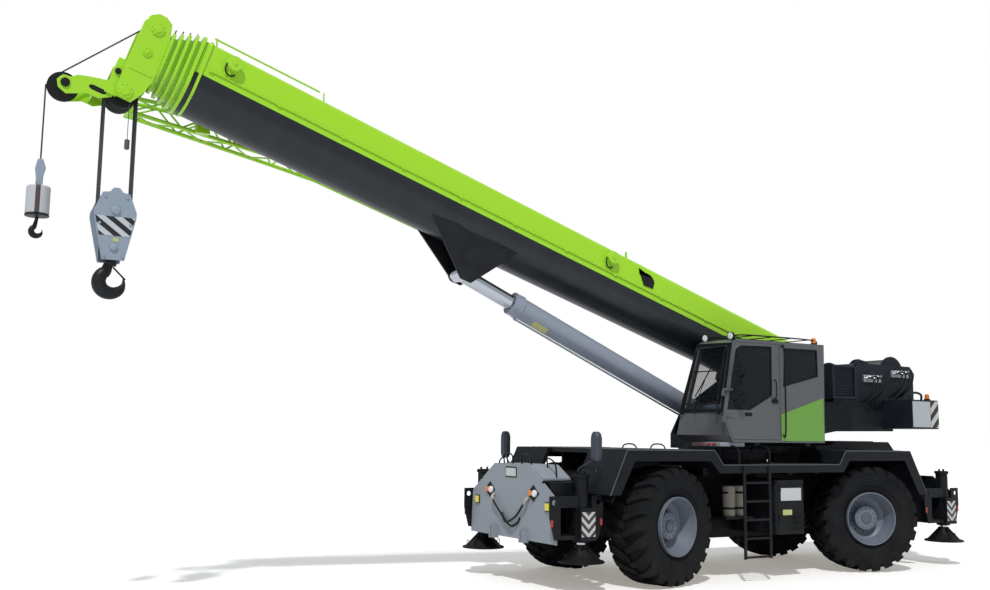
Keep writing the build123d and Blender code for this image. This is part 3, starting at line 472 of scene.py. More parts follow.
for hand in (1, -1):
    for (x0, z0), (x1, z1) in zip(deck_edge, deck_edge[1:]):
        trim.rod((x0, hand * deck_half, z0 - 0.008), (x1, hand * deck_half, z1 - 0.008), 0.009, 6)
trim.fit()

flaps = Piece("wheel_arch_flaps", tube_black, "chassis", "carrier_black")
arch_inner = deck_half - 0.5
arch_outer = deck_half - 0.03
flap_line = ((0, arch_inner), (0, arch_outer), (0.015, arch_outer), (0.015, arch_inner))
for hand in (1, -1):
    for ends in (((mid_x + 3.22, 1.9), (mid_x + 3.5, 1.33)), ((mid_x - 3.2, 1.9), (mid_x - 3.6, 1.25))):
        flaps.loops([[(x + dx, hand * y, z) for dx, y in flap_line] for x, z in ends])
flaps.fit()

grip_pitch = 0.12
grip = Piece("deck_grip_bars", edge_grey, "chassis", "carrier_black")
for hand in (1, -1):
    for x0, x1, top in (
        (mid_x + 1.62, mid_x + 3.1, deck_top),
        (mid_x - 1.2, mid_x + 0.25, step_top),
        (mid_x - 3.1, mid_x - 1.7, deck_top),
    ):
        for n in range(int((x1 - x0) / grip_pitch)):
            x = x0 + grip_pitch * n
            grip.box((x, hand * 1.0, top), (x + 0.03, hand * 1.55, top + 0.005))
grip.fit()

grille = Piece("hood_grilles", edge_grey, "chassis", "carrier_black")
for n in range(8):
    z = 1.84 + 0.03 * n
    grille.box((mid_x - 4.118, -0.42, z), (mid_x - 4.075, 0.42, z + 0.012))
for n in range(9):
    x = mid_x - 3.7 + 0.12 * n
    grille.box((x, -0.4, 2.29), (x + 0.05, 0.4, 2.302))
grille.fit(bevel=0.002)

# Lockers, ladders and rails: folded boxes and welded tube on the carrier's flanks. The
# pale plates on the locker are blank, and two canvas rolls stand strapped in a cradle.
plate_white = Finish("plate_white", (0.55, 0.56, 0.55), 0.5).weather(dust=0.1)
plate_yellow = Finish("plate_yellow", (0.5, 0.5, 0.2), 0.5).weather(dust=0.1)
canvas = Finish("canvas", (0.3, 0.27, 0.22), 0.85).weather(dust=0.2, grain=0.003)
paint(carrier_black, "side_boxes", "ladders")
locker_face = 1.56
locker_x0 = mid_x - 0.6
locker_x1 = mid_x + 0.07
fittings = Piece("locker_fittings", frame_black, "chassis", "carrier_black")
fittings.box((locker_x0 + 0.04, locker_face - 0.002, 0.79), (locker_x1 - 0.04, locker_face + 0.008, 1.58))
for z in (0.95, 1.45):
    fittings.box((locker_x1 - 0.1, locker_face, z), (locker_x1 - 0.06, locker_face + 0.02, z + 0.1))
for n in range(3):
    fittings.box(
        (locker_x0 + 0.03, locker_face, 0.83 + 0.09 * n),
        (locker_x0 + 0.3, locker_face + 0.03, 0.845 + 0.09 * n),
    )
fittings.fit(bevel=0.003)
blank = Piece("blank_plate", plate_white, "chassis", "light_grey")
blank.box((locker_x0 + 0.1, locker_face + 0.007, 1.29), (locker_x1 - 0.1, locker_face + 0.014, 1.5))
blank.fit(bevel=0.002)
blank_low = Piece("blank_plate_low", plate_yellow, "chassis", "light_grey")
blank_low.box((locker_x0 + 0.32, locker_face + 0.007, 1.05), (locker_x1 - 0.14, locker_face + 0.014, 1.14))
blank_low.fit(bevel=0.002)

ladder_x = mid_x + 0.58
rolls = Piece("strapped_rolls", canvas, "chassis", "light_grey")
for n, x in enumerate((ladder_x - 0.12, ladder_x + 0.14)):
    rolls.turned(
        [(0, 0.05), (0.01, 0.1), (0.5, 0.108), (0.52, 0.06)],
        (x, 1.1 + 0.02 * n, 1.02),
        (0, 0, 1),
        16,
    )
rolls.fit()
cradle = Piece("roll_cradle", frame_black, "chassis", "carrier_black")
cradle.box((ladder_x - 0.3, 0.43, 0.98), (ladder_x + 0.3, 1.24, 1.022))
cradle.box((ladder_x - 0.3, 0.43, 1.02), (ladder_x + 0.3, 0.47, 1.6))
for z in (1.14, 1.4):
    for x in (ladder_x - 0.12, ladder_x + 0.14):
        cradle.turned(
            [(0, 0.106), (0, 0.114), (0.035, 0.114), (0.035, 0.106)],
            (x, 1.11, z),
            (0, 0, 1),
            16,
            closed=True,
        )
cradle.fit(bevel=0.002)

rails = Piece("deck_rails", tube_black, "chassis", "carrier_black")
for hand in (1, -1):
    for x in (ladder_x - 0.34, ladder_x + 0.34):
        rails.tube(
            [
                (x, hand * 1.6, step_top - 0.02), (x, hand * 1.6, 2.1), (x, hand * 1.5, 2.19),
                (x, hand * 1.25, 2.19), (x, hand * 1.15, 2.1), (x, hand * 1.15, step_top - 0.02),
            ],
            0.014,
        )
    # hoops over the front corners guard the hose ends
    for x, y in ((mid_x + 3.3, 1.2), (mid_x + 3.62, 1.12)):
        rails.tube(
            [
                (x, hand * (y + 0.28), 1.42), (x + 0.02, hand * (y + 0.26), 1.8),
                (x + 0.02, hand * y, 1.86), (x + 0.02, hand * (y - 0.26), 1.8),
                (x, hand * (y - 0.28), 1.62),
            ],
            0.011,
        )
rails.fit()

# Front shield: thick folded plate in light grey that covers the outrigger box, with
# lamps in two diamond cut-outs, square side lamps, and two hydraulic hoses in a V.
shield_grey = Finish("shield_grey", (0.26, 0.285, 0.32), 0.46).weather(dust=0.16, top=2.6)
lamp_white = Finish("lamp_white", (0.75, 0.76, 0.78), 0.15, coat=0.6)
lamp_orange = Finish("lamp_orange", (0.75, 0.2, 0.02), 0.2, coat=0.5)
lamp_yellow = Finish("lamp_yellow", (0.75, 0.62, 0.03), 0.25, coat=0.5)
lamp_red = Finish("lamp_red", (0.42, 0.012, 0.01), 0.22, coat=0.5)
hose_black = Finish("hose_black", (0.009, 0.009, 0.01), 0.5)
hose_pale = Finish("hose_sleeve", (0.42, 0.38, 0.3), 0.7)
paint(shield_grey, "front_shield")
shield_x = mid_x + 4.335
lamp_y = 0.68
lamp_z = 1.44
side_lamp_y = 1.1
diamond = [(-0.17, 0), (0, -0.13), (0.17, 0), (0, 0.13)]
recess = Piece("shield_recesses", frame_black, "chassis", "carrier_black")
whites = Piece("shield_lamps", lamp_white, "chassis", "light_grey")
ambers = Piece("shield_markers", lamp_orange, "chassis", "light_grey")
yellows = Piece("shield_side_lamps", lamp_yellow, "chassis", "light_grey")
for hand in (1, -1):
    recess.plate(diamond, (shield_x - 0.002, hand * lamp_y, lamp_z), (0, 1, 0), (0, 0, 1), 0.008)
    whites.turned(
        [(0, 0.055), (0.03, 0.055), (0.045, 0.04), (0.05, 0.002)],
        (shield_x + 0.004, hand * lamp_y + 0.06, lamp_z),
        (1, 0, 0),
        20,
    )
    ambers.turned(
        [(0, 0.045), (0.03, 0.045), (0.042, 0.03), (0.046, 0.002)],
        (shield_x + 0.004, hand * lamp_y - 0.07, lamp_z),
        (1, 0, 0),
        20,
    )
    yellows.box(
        (shield_x, hand * side_lamp_y - 0.055, 1.2),
        (shield_x + 0.03, hand * side_lamp_y + 0.055, 1.31),
    )
    recess.box(
        (shield_x, hand * side_lamp_y - 0.07, 1.185),
        (shield_x + 0.012, hand * side_lamp_y + 0.07, 1.325),
    )
recess.box((shield_x - 0.002, -0.17, 1.66), (shield_x + 0.006, 0.17, 1.83))
recess.fit(bevel=0.002)
whites.fit()
ambers.fit()
yellows.fit(bevel=0.006)
blank_top = Piece("shield_blank_plate", plate_white, "chassis", "light_grey")
blank_top.box((shield_x + 0.005, -0.15, 1.68), (shield_x + 0.012, 0.15, 1.81))
blank_top.fit(bevel=0.002)

hoses = Piece("shield_hoses", hose_black, "chassis", "carrier_black")
sleeves = Piece("shield_hose_sleeves", hose_pale, "chassis", "light_grey")
for y0, y1, low in ((-0.55, 0.06, 0.9), (0.56, -0.04, 0.95)):
    hoses.tube(
        [
            (shield_x, y0, 1.36),
            (shield_x + 0.06, y0 * 0.92 + y1 * 0.08, 1.3),
            (shield_x + 0.05, y0 * 0.5 + y1 * 0.5, 1.08),
            (shield_x + 0.05, y1, low),
            (shield_x + 0.02, y1 - y0 * 0.3, low + 0.05),
            (shield_x, y1 - y0 * 0.4, low + 0.14),
        ],
        0.017,
    )
    sleeves.tube(
        [
            (shield_x, y0, 1.37),
            (shield_x + 0.05, y0 * 0.96 + y1 * 0.04, 1.33),
            (shield_x + 0.058, y0 * 0.88 + y1 * 0.12, 1.26),
        ],
        0.024,
    )
hoses.fit()
sleeves.fit()

bars = Piece("shield_rails", tube_black, "chassis", "carrier_black")
for hand in (1, -1):
    bars.tube(
        [
            (shield_x - 0.12, hand * 0.14, 1.86),
            (shield_x - 0.1, hand * 0.16, 2.02),
            (shield_x - 0.1, hand * 0.4, 2.02),
            (shield_x - 0.12, hand * 0.42, 1.86),
        ],
        0.013,
    )
    bars.tube(
        [
            (shield_x - 0.3, hand * 0.62, 1.83),
            (shield_x - 0.28, hand * 0.64, 1.98),
            (shield_x - 0.28, hand * 0.86, 1.9),
            (shield_x - 0.3, hand * 0.88, 1.68),
        ],
        0.013,
    )
    bars.rod((shield_x - 0.35, hand * 0.95, 1.62), (shield_x + 0.005, hand * 0.95, 1.62), 0.02)
bars.fit()

# Outriggers: box beams whose end plates carry a pointed hazard plate, and jacks with
# turned steel floats, ribbed under the rod and lifted by wire loops.
rod_chrome = Finish("rod_chrome", (0.6, 0.62, 0.66), 0.16, metallic=1.0)
paint(carrier_black, "outrigger_boxes", *("outrigger_beam_" + corner for corner in corners))
chevron_pitch = 0.13
float_z = 0.425
hazard = Finish("hazard_chevrons", (0.45, 0.46, 0.45), 0.5)
plate_x, _, plate_z = hazard.axes()
hazard.set(
    "Base Color",
    hazard.mix(
        ((plate_z - abs(plate_x)) % chevron_pitch) > chevron_pitch / 2,
        (0.05, 0.035, 0.028, 1),
        (0.5, 0.51, 0.5, 1),
    ),
)
rear_box_x = mid_x - 4.43
beams = {
    "fl": (front_box_x - 0.155, 1),
    "fr": (front_box_x + 0.155, -1),
    "rl": (rear_box_x - 0.155, 1),
    "rr": (rear_box_x + 0.155, -1),
}
for corner, (bx, hand) in beams.items():
    sign = Piece("chevron_plate_" + corner, hazard, "beam_" + corner, "light_grey")
    face = hand * 1.443
    sign.box((bx - 0.125, face, 0.82), (bx + 0.125, face + hand * 0.006, 1.19))
    sign.fit(bevel=0.002, origin=(bx, face, 1.0))
    jack_y = hand * 1.25
    head = Piece("jack_head_" + corner, frame_black, "beam_" + corner, "carrier_black")
    head.turned(
        [(0, 0.112), (0.005, 0.128), (0.05, 0.128), (0.056, 0.11)],
        (bx, jack_y, 1.694),
        (0, 0, 1),
        28,
    )
    head.turned(
        [(0, 0.109), (0.004, 0.124), (0.05, 0.124), (0.054, 0.109)],
        (bx, jack_y, 0.727),
        (0, 0, 1),
        28,
    )
    head.rod((bx - 0.06, jack_y, 1.74), (bx - 0.06, jack_y, 1.79), 0.018)
    head.rod((bx + 0.06, jack_y, 1.74), (bx + 0.06, jack_y, 1.79), 0.018)
    head.fit()
    foot = Piece("jack_float_" + corner, frame_black, "jack_%s_body" % corner, "carrier_black")
    foot.turned(
        [
            (0, 0.34), (0.0, 0.355), (0.022, 0.357), (0.03, 0.34), (0.045, 0.285), (0.17, 0.13),
            (0.215, 0.105), (0.262, 0.1), (0.27, 0.075),
        ],
        (bx, jack_y, float_z), (0, 0, 1), 40,
    )
    for n in range(8):
        turn = math.pi / 4 * n + math.pi / 8
        ray_out = Vector((math.cos(turn), math.sin(turn), 0))
        foot.plate(
            [(0.09, 0.26), (0.31, 0.03), (0.1, 0.03)],
            Vector((bx, jack_y, float_z)) - ray_out.cross(Vector((0, 0, 1))) * 0.006,
            ray_out,
            (0, 0, 1),
            0.012,
        )
    for n in (1, -1):
        foot.tube(
            [
                (bx + n * 0.28, jack_y - 0.05, 0.45),
                (bx + n * 0.3, jack_y - 0.03, 0.55),
                (bx + n * 0.3, jack_y + 0.03, 0.55),
                (bx + n * 0.28, jack_y + 0.05, 0.45),
            ],
            0.006,
            6,
        )
    foot.fit(replaces=["jack_" + corner])
    rod = Piece("jack_rod_" + corner, rod_chrome, "jack_%s_body" % corner, "rod_chrome")
    rod.turned([(0, 0.072), (0.98, 0.072)], (bx, jack_y, 0.69), (0, 0, 1), 28)
    rod.fit()
reds = Piece("outrigger_reflectors", lamp_red, "chassis", "light_grey")
for x in (front_box_x, rear_box_x):
    for hand in (1, -1):
        for edge in (x - 0.47, x + 0.43):
            reds.box((edge, hand * 1.355, 0.98), (edge + 0.04, hand * 1.362, 1.08))
reds.fit(bevel=0.002)
tank = Piece("round_reservoirs", carrier_black, "chassis", "carrier_black")
for hand in (1, -1):
    tank.turned(
        [(0, 0.06), (0.015, 0.11), (0.03, 0.12), (0.24, 0.12), (0.255, 0.11), (0.27, 0.06)],
        (front_box_x - 0.46, hand * 0.46, 1.18),
        (0, hand, 0),
        28,
    )
    tank.box((front_box_x - 0.5, hand * 0.46, 1.28), (front_box_x - 0.3, hand * 0.7, 1.31))
tank.fit(bevel=0.004)

# Turntable: dark grey side plates with the boom foot and lift cylinder pins across
# them. Each pin ends in a turned cap held by a ring of bolts.
upper_grey = Finish("upper_grey", (0.007, 0.009, 0.013), 0.45).weather(dust=0.08, top=4.0)
paint(upper_grey, "slew_ring", "turntable")
pivot = Vector((mid_x - 1.1, 0, 3.3))
lift_foot = Vector((mid_x + 0.05, 0, 2.62))
caps = Piece("turntable_pin_caps", upper_grey, "upper", "upper_grey")
for spot, radius in ((pivot, 0.16), (lift_foot, 0.14)):
    for hand in (1, -1):
        base = spot + Vector((0, hand * 0.6, 0))
        caps.turned(
            [
                (0, radius), (0.012, radius), (0.018, radius - 0.05), (0.026, radius - 0.06),
                (0.027, 0.002),
            ],
            base,
            (0, hand, 0),
            32,
        )
        caps.bolt_ring(base, (0, hand, 0), (1, 0, 0), (0, 0, 1), radius - 0.022, 8, (0.01, 0.024), 0.012)
caps.fit()

# Cab: folded steel painted mid grey, with rubber-edged tinted glass, black tube hand
# rails, a guard over the roof window, and the fleet green on its rear lower panel.
cab_grey = Finish("cab_grey", (0.085, 0.088, 0.094), 0.38, coat=0.25).weather(dust=0.08, top=5.0)
green_paint = (0.36, 0.7, 0.012)
panel_green = Finish("panel_green", (0.13, 0.32, 0.03), 0.35, coat=0.4).weather(dust=0.08, top=4.0)
cab_tint = Finish("cab_tint", (0.012, 0.016, 0.019), 0.05)
glass_x, glass_y, _ = cab_tint.axes()
clear = cab_tint.clamp((glass_x > mid_x + 0.92) + (0.72 > glass_y))
cab_tint.set("Alpha", 0.8 - clear * 0.55)
door_tint = Finish("door_tint", (0.012, 0.016, 0.019), 0.05)
door_tint.set("Alpha", 0.8)
gasket_rubber = Finish("gasket_rubber", (0.006, 0.006, 0.007), 0.5)
paint(cab_grey, "cab_shell", "cab_door")
paint(cab_tint, "cab_glass")
paint(door_tint, "door_glass")
cab_sill = 2.262
cab_face = 1.5
door_window = [(1.07, 0.538), (0.56, 0.538), (0.054, 0.79), (0.04, 1.64), (0.74, 1.625), (0.862, 1.56)]
rear_window = [(-0.253, 1.629), (-1.052, 1.634), (-1.059, 1.157), (-0.208, 0.952)]
screen = [(1.346, 0.66, 0.501), (0.971, 0.66, 1.674), (0.936, 1.49, 1.652), (1.158, 1.49, 0.498)]


def edge_strip(piece, corners_of, inner, outer, lift, thick):
    """A flat strip along a closed outline: inner and outer are its reaches from the edge."""
    corners_of = [Vector(c) for c in corners_of]
    middle = sum(corners_of, Vector()) / len(corners_of)
    normal = (corners_of[1] - corners_of[0]).cross(corners_of[2] - corners_of[1]).normalized() * lift
    rings = []
    for n, here in enumerate(corners_of):
        before = (here - corners_of[n - 1]).normalized()
        after = (corners_of[(n + 1) % len(corners_of)] - here).normalized()
        bend = (after - before).normalized()
        if bend.dot(middle - here) < 0:
            bend = -bend
        reach = 1 / max(abs(bend.dot(normal.normalized().cross(before))), 0.35)
        a, b = here + bend * inner * reach, here - bend * outer * reach
        rings.append([a, b, b + normal.normalized() * thick, a + normal.normalized() * thick])
        for k in range(4):
            rings[-1][k] = rings[-1][k] + normal
    piece.loops(rings, closed=True)


door_gasket = Piece("door_window_gasket", gasket_rubber, "door", "cab_grey")
edge_strip(
    door_gasket,
    [(mid_x + x, cab_face, cab_sill + z) for x, z in reversed(door_window)],
    0.022,
    0.022,
    0.001,
    0.008,
)
door_gasket.fit(bevel=0.002)
gaskets = Piece("cab_window_gaskets", gasket_rubber, "upper", "cab_grey")
edge_strip(
    gaskets,
    [(mid_x + x, cab_face, cab_sill + z) for x, z in rear_window],
    0.022,
    0.022,
    0.001,
    0.008,
)
edge_strip(
    gaskets,
    [(mid_x + x, y, cab_sill + z) for x, y, z in reversed(screen)],
    0.05,
    0.012,
    0.002,
    0.008,
)
gaskets.fit(bevel=0.002)

green_panel = Piece("cab_green_panel", panel_green, "upper", "boom_green")
green_panel.plate(
    [
        (mid_x - 0.15, cab_sill + 0.03),
        (mid_x - 0.15, 2.74),
        (mid_x - 1.17, 3.05),
        (mid_x - 1.17, cab_sill + 0.03),
    ],
    (0, cab_face + 0.006, 0), (1, 0, 0), (0, 0, 1), 0.005,
)
green_panel.fit(bevel=0.001)

cab_rails = Piece("cab_handrails", tube_black, "upper", "cab_grey")
cab_rails.tube(
    [
        (mid_x - 0.19, 1.5, 3.9), (mid_x - 0.19, 1.56, 3.88), (mid_x - 0.19, 1.575, 3.2),
        (mid_x - 0.19, 1.56, 2.42), (mid_x - 0.19, 1.5, 2.4),
    ],
    0.014,
)
for y in (0.72, 1.42):
    slope = (1.346 - 0.971) if y < 1 else (1.158 - 0.936)
    top_x = mid_x + (0.971 if y < 1 else 0.936)
    cab_rails.tube(
        [
            (top_x + 0.0, y, 3.86), (top_x + 0.07, y, 3.84), (top_x + 0.08 + slope * 0.5, y, 3.3),
            (top_x + 0.07 + slope, y, 2.78), (top_x + slope, y, 2.74),
        ],
        0.013,
    )
for z in (2.9, 3.45):
    drop = (3.9 - z) / 1.15
    cab_rails.rod(
        (mid_x + 0.98 + 0.36 * drop + 0.06, 0.72, z),
        (mid_x + 0.94 + 0.22 * drop + 0.07, 1.42, z),
        0.01,
    )
roof_z = 4.07
for y in (0.74, 1.4):
    cab_rails.tube(
        [
            (mid_x - 1.1, y, 3.98), (mid_x - 1.08, y, roof_z), (mid_x - 0.1, y, roof_z + 0.015),
            (mid_x + 0.72, y, roof_z), (mid_x + 0.78, y, 3.98),
        ],
        0.012,
    )
for x in (-0.95, -0.5, -0.05, 0.4, 0.7):
    cab_rails.rod((mid_x + x, 0.74, roof_z + 0.005), (mid_x + x, 1.4, roof_z + 0.005), 0.009)
cab_rails.fit()

wiper = Piece("cab_wipers", gasket_rubber, "upper", "cab_grey")
wiper.tube([(mid_x + 1.34, 1.0, 2.72), (mid_x + 1.3, 1.02, 2.95), (mid_x + 1.17, 1.1, 3.35)], 0.008, 6)
wiper.tube([(mid_x + 1.28, 0.94, 3.02), (mid_x + 1.15, 1.12, 3.4), (mid_x + 1.08, 1.2, 3.62)], 0.011, 6)
wiper.fit()

door_fittings = Piece("door_fittings", gasket_rubber, "door", "cab_grey")
door_fittings.box((mid_x - 0.07, cab_face, 2.93), (mid_x + 0.06, cab_face + 0.02, 3.0))
door_fittings.box((mid_x + 0.52, cab_face, 2.7), (mid_x + 0.68, cab_face + 0.006, 2.76))
door_fittings.tube(
    [
        (mid_x + 0.0, cab_face, 3.02),
        (mid_x + 0.0, 1.55, 3.04),
        (mid_x + 0.0, 1.55, 3.3),
        (mid_x + 0.0, cab_face, 3.32),
    ],
    0.01,
)
door_fittings.fit(bevel=0.003)
mirrors = Piece("cab_mirrors", gasket_rubber, "door", "blue_grey_plastic")
for x, z, high in ((0.86, 3.42, 0.17), (0.9, 3.1, 0.11)):
    mirrors.turned(
        [(0, 0.05), (0.02, 0.075), (0.06, 0.08), (0.07, 0.07)],
        (mid_x + x, 1.62, z),
        (0.86, 0.4, 0.1),
        24,
    )
    mirrors.box((mid_x + x - 0.035, 1.58, z - high / 2), (mid_x + x + 0.02, 1.72, z + high / 2))
mirrors.tube(
    [
        (mid_x + 0.86, cab_face, 3.7),
        (mid_x + 0.86, 1.6, 3.68),
        (mid_x + 0.86, 1.62, 3.1),
        (mid_x + 0.9, cab_face, 2.95),
    ],
    0.01,
)
mirrors.fit(bevel=0.012)

beacon = Piece("beacons", lamp_orange, "upper", "light_grey")
beacon_base = Piece("beacon_bases", gasket_rubber, "upper", "carrier_black")
for spot in ((mid_x - 1.1, 1.38, 3.99), (mid_x - 4.45, 1.1, 3.1)):
    beacon_base.turned([(0, 0.06), (0.03, 0.06), (0.035, 0.05)], spot, (0, 0, 1), 20)
    beacon.turned([(0.03, 0.046), (0.11, 0.042), (0.13, 0.02), (0.132, 0.001)], spot, (0, 0, 1), 20)
beacon.fit()
beacon_base.fit()
work_lamps = Piece("cab_work_lamps", lamp_white, "upper", "light_grey")
lamp_bodies = Piece("cab_lamp_bodies", gasket_rubber, "upper", "carrier_black")
for y in (0.74, 1.38):
    lamp_bodies.turned(
        [(0, 0.03), (0.02, 0.06), (0.07, 0.07), (0.075, 0.06)],
        (mid_x + 0.8, y, 4.06),
        (1, 0.1, -0.15),
        20,
    )
    lamp_bodies.rod((mid_x + 0.8, y, 3.97), (mid_x + 0.82, y, 4.05), 0.012)
    work_lamps.turned(
        [(0.07, 0.062), (0.082, 0.05), (0.084, 0.001)], (mid_x + 0.8, y, 4.06), (1, 0.1, -0.15), 20
    )
work_lamps.fit()
lamp_bodies.fit()
step_box = Piece("cab_front_step", shield_grey, "upper", "light_grey")
step_box.box((mid_x + 0.62, 0.7, 2.19), (mid_x + 1.16, 1.42, 2.262))
step_box.fit(bevel=0.01)
markers = Piece("cab_marker_row", lamp_red, "upper", "light_grey")
for n in range(4):
    markers.box((mid_x + 1.16, 0.8 + 0.14 * n, 2.21), (mid_x + 1.172, 0.9 + 0.14 * n, 2.245))
markers.fit(bevel=0.003)

# Cab inside: a sprung seat with a padded cushion and back, a blue-grey front console
# with the steering wheel on its column, and two levers.
seat_cloth = Finish("seat_cloth", (0.018, 0.019, 0.022), 0.85).weather(dust=0.05, grain=0.004)
console_blue = Finish("console_blue", (0.12, 0.17, 0.23), 0.5).weather(dust=0.05, top=4.0)
cab_mid = 1.075
floor_z = 2.307
base = Piece("seat_base", gasket_rubber, "upper", "seat_black")
base.box((mid_x - 0.55, cab_mid - 0.18, floor_z), (mid_x - 0.15, cab_mid + 0.18, floor_z + 0.38))
base.fit(bevel=0.02, replaces=["cab_interior"])


def pad(name, low, high, lean):
    """One upholstered pad of the seat, leaned back about its own middle."""
    cushion = Piece(name, seat_cloth, "upper", "seat_black")
    cushion.box(low, high)
    made = cushion.fit(bevel=0.05)
    made.modifiers["edge"].segments = 5
    centre = (Vector(low) + Vector(high)) / 2
    turn = Matrix.Rotation(math.radians(lean), 4, "Y")
    made.data.transform(Matrix.Translation(centre) @ turn @ Matrix.Translation(-centre))


pad(
    "seat_cushion",
    (mid_x - 0.58, cab_mid - 0.24, floor_z + 0.38),
    (mid_x - 0.06, cab_mid + 0.24, floor_z + 0.5),
    -4,
)
pad(
    "seat_back",
    (mid_x - 0.7, cab_mid - 0.23, floor_z + 0.46),
    (mid_x - 0.56, cab_mid + 0.23, floor_z + 1.08),
    -10,
)
console = Piece("front_console", console_blue, "upper", "blue_grey_plastic")
console.plate(
    [
        (mid_x + 0.7, floor_z), (mid_x + 0.95, floor_z), (mid_x + 1.02, floor_z + 0.3),
        (mid_x + 0.98, floor_z + 0.56), (mid_x + 0.8, floor_z + 0.6),
        (mid_x + 0.72, floor_z + 0.48),
    ],
    (0, cab_mid + 0.3, 0), (1, 0, 0), (0, 0, 1), 0.6,
)
console.fit(bevel=0.02)
helm = Piece("steering_wheel", gasket_rubber, "upper", "seat_black")
helm_spot = Vector((mid_x + 0.52, cab_mid, floor_z + 0.74))
helm_axis = Vector((-0.5, 0, 0.86)).normalized()
helm_radius = 0.19


def helm_point(turn):
    """A point on the steering wheel's rim."""
    aside = Vector((helm_axis.z * math.cos(turn), 0, -helm_axis.x * math.cos(turn)))
    return helm_spot + aside * helm_radius + Vector((0, math.sin(turn) * helm_radius, 0))


helm.rod((mid_x + 0.78, cab_mid, floor_z + 0.4), helm_spot, 0.03)
helm.tube([helm_point(math.pi / 6 * n) for n in range(13)], 0.014, 8, 3)
for n in range(3):
    helm.rod(helm_spot, helm_point(2 * math.pi * n / 3), 0.01)
for y in (cab_mid - 0.33, cab_mid + 0.33):
    helm.box((mid_x - 0.45, y - 0.05, floor_z + 0.42), (mid_x - 0.05, y + 0.05, floor_z + 0.56))
    helm.rod((mid_x - 0.1, y, floor_z + 0.55), (mid_x - 0.07, y, floor_z + 0.74), 0.016)
    helm.box((mid_x - 0.4, y, floor_z + 0.44), (mid_x - 0.3, cab_mid, floor_z + 0.48))
helm.fit(bevel=0.004)

# Winch side: the cooler and winch frame are dark blue-grey plate. Bright fittings sit
# on the left plate, and black hoses loop out of them, down and back to the plate.
winch_blue = Finish("winch_blue_grey", (0.011, 0.015, 0.022), 0.42).weather(dust=0.05, top=4.5)
bright_steel = Finish("bright_steel", (0.5, 0.5, 0.5), 0.3, metallic=0.8)
rope_steel = Finish("rope_steel", (0.07, 0.07, 0.075), 0.55, metallic=0.6)
rope_steel.set("Normal", rope_steel.bump(rope_steel.noise(160.0), 0.003))
paint(winch_blue, "oil_cooler", "winch_frame", "winches")
side_plate = 0.6
drums = ((mid_x - 3.43, 3.55), (mid_x - 4.27, 3.66))
slats = Piece("cooler_louvres", winch_blue, "upper", "winch_blue_grey")
for n in range(11):
    z = 3.14 + 0.05 * n
    slats.plate(
        [(0, 0), (0.022, 0.02), (0.024, 0.017), (0.003, -0.003)],
        (mid_x - 2.555, 0.97, z),
        (0, 1, 0),
        (0, 0, 1),
        0.54,
    )
slats.fit()
taps = Piece("winch_fittings", bright_steel, "upper", "light_grey")
pipes = Piece("winch_hoses", hose_black, "upper", "carrier_black")
for x0, z0 in ((mid_x - 3.3, 3.5), (mid_x - 4.1, 3.62)):
    for n in range(4):
        x = x0 - 0.11 * n
        z = z0 + 0.03 * (n % 2)
        taps.turned(
            [(0, 0.035), (0.06, 0.035), (0.07, 0.026), (0.13, 0.026)],
            (x, side_plate, z),
            (0, 1, 0.2),
            12,
        )
        pipes.tube(
            [
                (x, side_plate + 0.12, z + 0.02), (x - 0.02, side_plate + 0.2, z - 0.02),
                (x + 0.05, side_plate + 0.19, z - 0.25), (x + 0.12, side_plate + 0.06, z - 0.42),
                (x + 0.14, side_plate, z - 0.46),
            ],
            0.016,
        )
    taps.box((x0 - 0.42, side_plate, z0 - 0.06), (x0 + 0.09, side_plate + 0.05, z0 + 0.08))
taps.fit(bevel=0.003)
pipes.fit()
bolts = Piece("winch_motor_bolts", winch_blue, "upper", "winch_blue_grey")
for drum_x, drum_z in drums:
    for hand in (1, -1):
        bolts.turned(
            [(0, 0.12), (0.02, 0.12), (0.026, 0.1), (0.027, 0.001)],
            (drum_x, hand * side_plate, drum_z),
            (0, hand, 0),
            24,
        )
bolts.fit()
coils = Piece("winch_rope_layers", rope_steel, "upper", "rope_steel")
for drum_x, drum_z in drums:
    profile = [(-0.425, 0.25)]
    for n in range(38):
        y = -0.418 + 0.022 * n
        profile += [(y, 0.268), (y + 0.011, 0.278)]
    profile += [(0.425, 0.25)]
    coils.turned(profile, (drum_x, 0, drum_z), (0, 1, 0), 40)
coils.fit()

# Counterweight: cast slabs behind the winches, with a pale plate on each flank that is a painted
# highlight for sunlit cast iron, a striped hazard block at each rear corner and two bent tube lifting
# brackets.
# This pale finish is a painted highlight: its light grey stands in for sun on the dark cast flanks.
painted_sunlit_cast = Finish("painted_sunlit_cast", (0.42, 0.44, 0.46), 0.5).weather(dust=0.1, top=4.0)
paint(winch_blue, "counterweight")
stripe_pitch = 0.26
stripes = Finish("hazard_stripes", (0.45, 0.46, 0.45), 0.5)
block_x, block_y, block_z = stripes.axes()
stripes.set(
    "Base Color",
    stripes.mix(
        ((block_z + block_x - block_y) % stripe_pitch) > stripe_pitch / 2,
        (0.03, 0.022, 0.02, 1),
        (0.5, 0.5, 0.48, 1),
    ),
)
cw_top = 3.1
cw_bottom = 2.55
for hand, name in ((1, "left"), (-1, "right")):
    # the pale flank plate is painted light, not paint on the cast
    flank = Piece("counterweight_flank_" + name, painted_sunlit_cast, "upper", "light_grey")
    y = hand * 1.3
    flank.box((mid_x - 4.27, y, cw_bottom + 0.03), (mid_x - 3.77, y + hand * 0.008, cw_top - 0.03))
    flank.fit(bevel=0.004)
    mark = Piece("hazard_block_" + name, stripes, "upper", "light_grey")
    ring_low = [
        (mid_x - 4.28, y), (mid_x - 4.5, y), (mid_x - 4.655, hand * 1.145),
        (mid_x - 4.66, hand * 1.15), (mid_x - 4.505, y + hand * 0.008),
        (mid_x - 4.28, y + hand * 0.008),
    ]
    mark.loops([[(px, py, z) for px, py in ring_low] for z in (cw_bottom + 0.02, cw_top - 0.02)])
    mark.fit(origin=(mid_x - 4.4, y, 2.8))
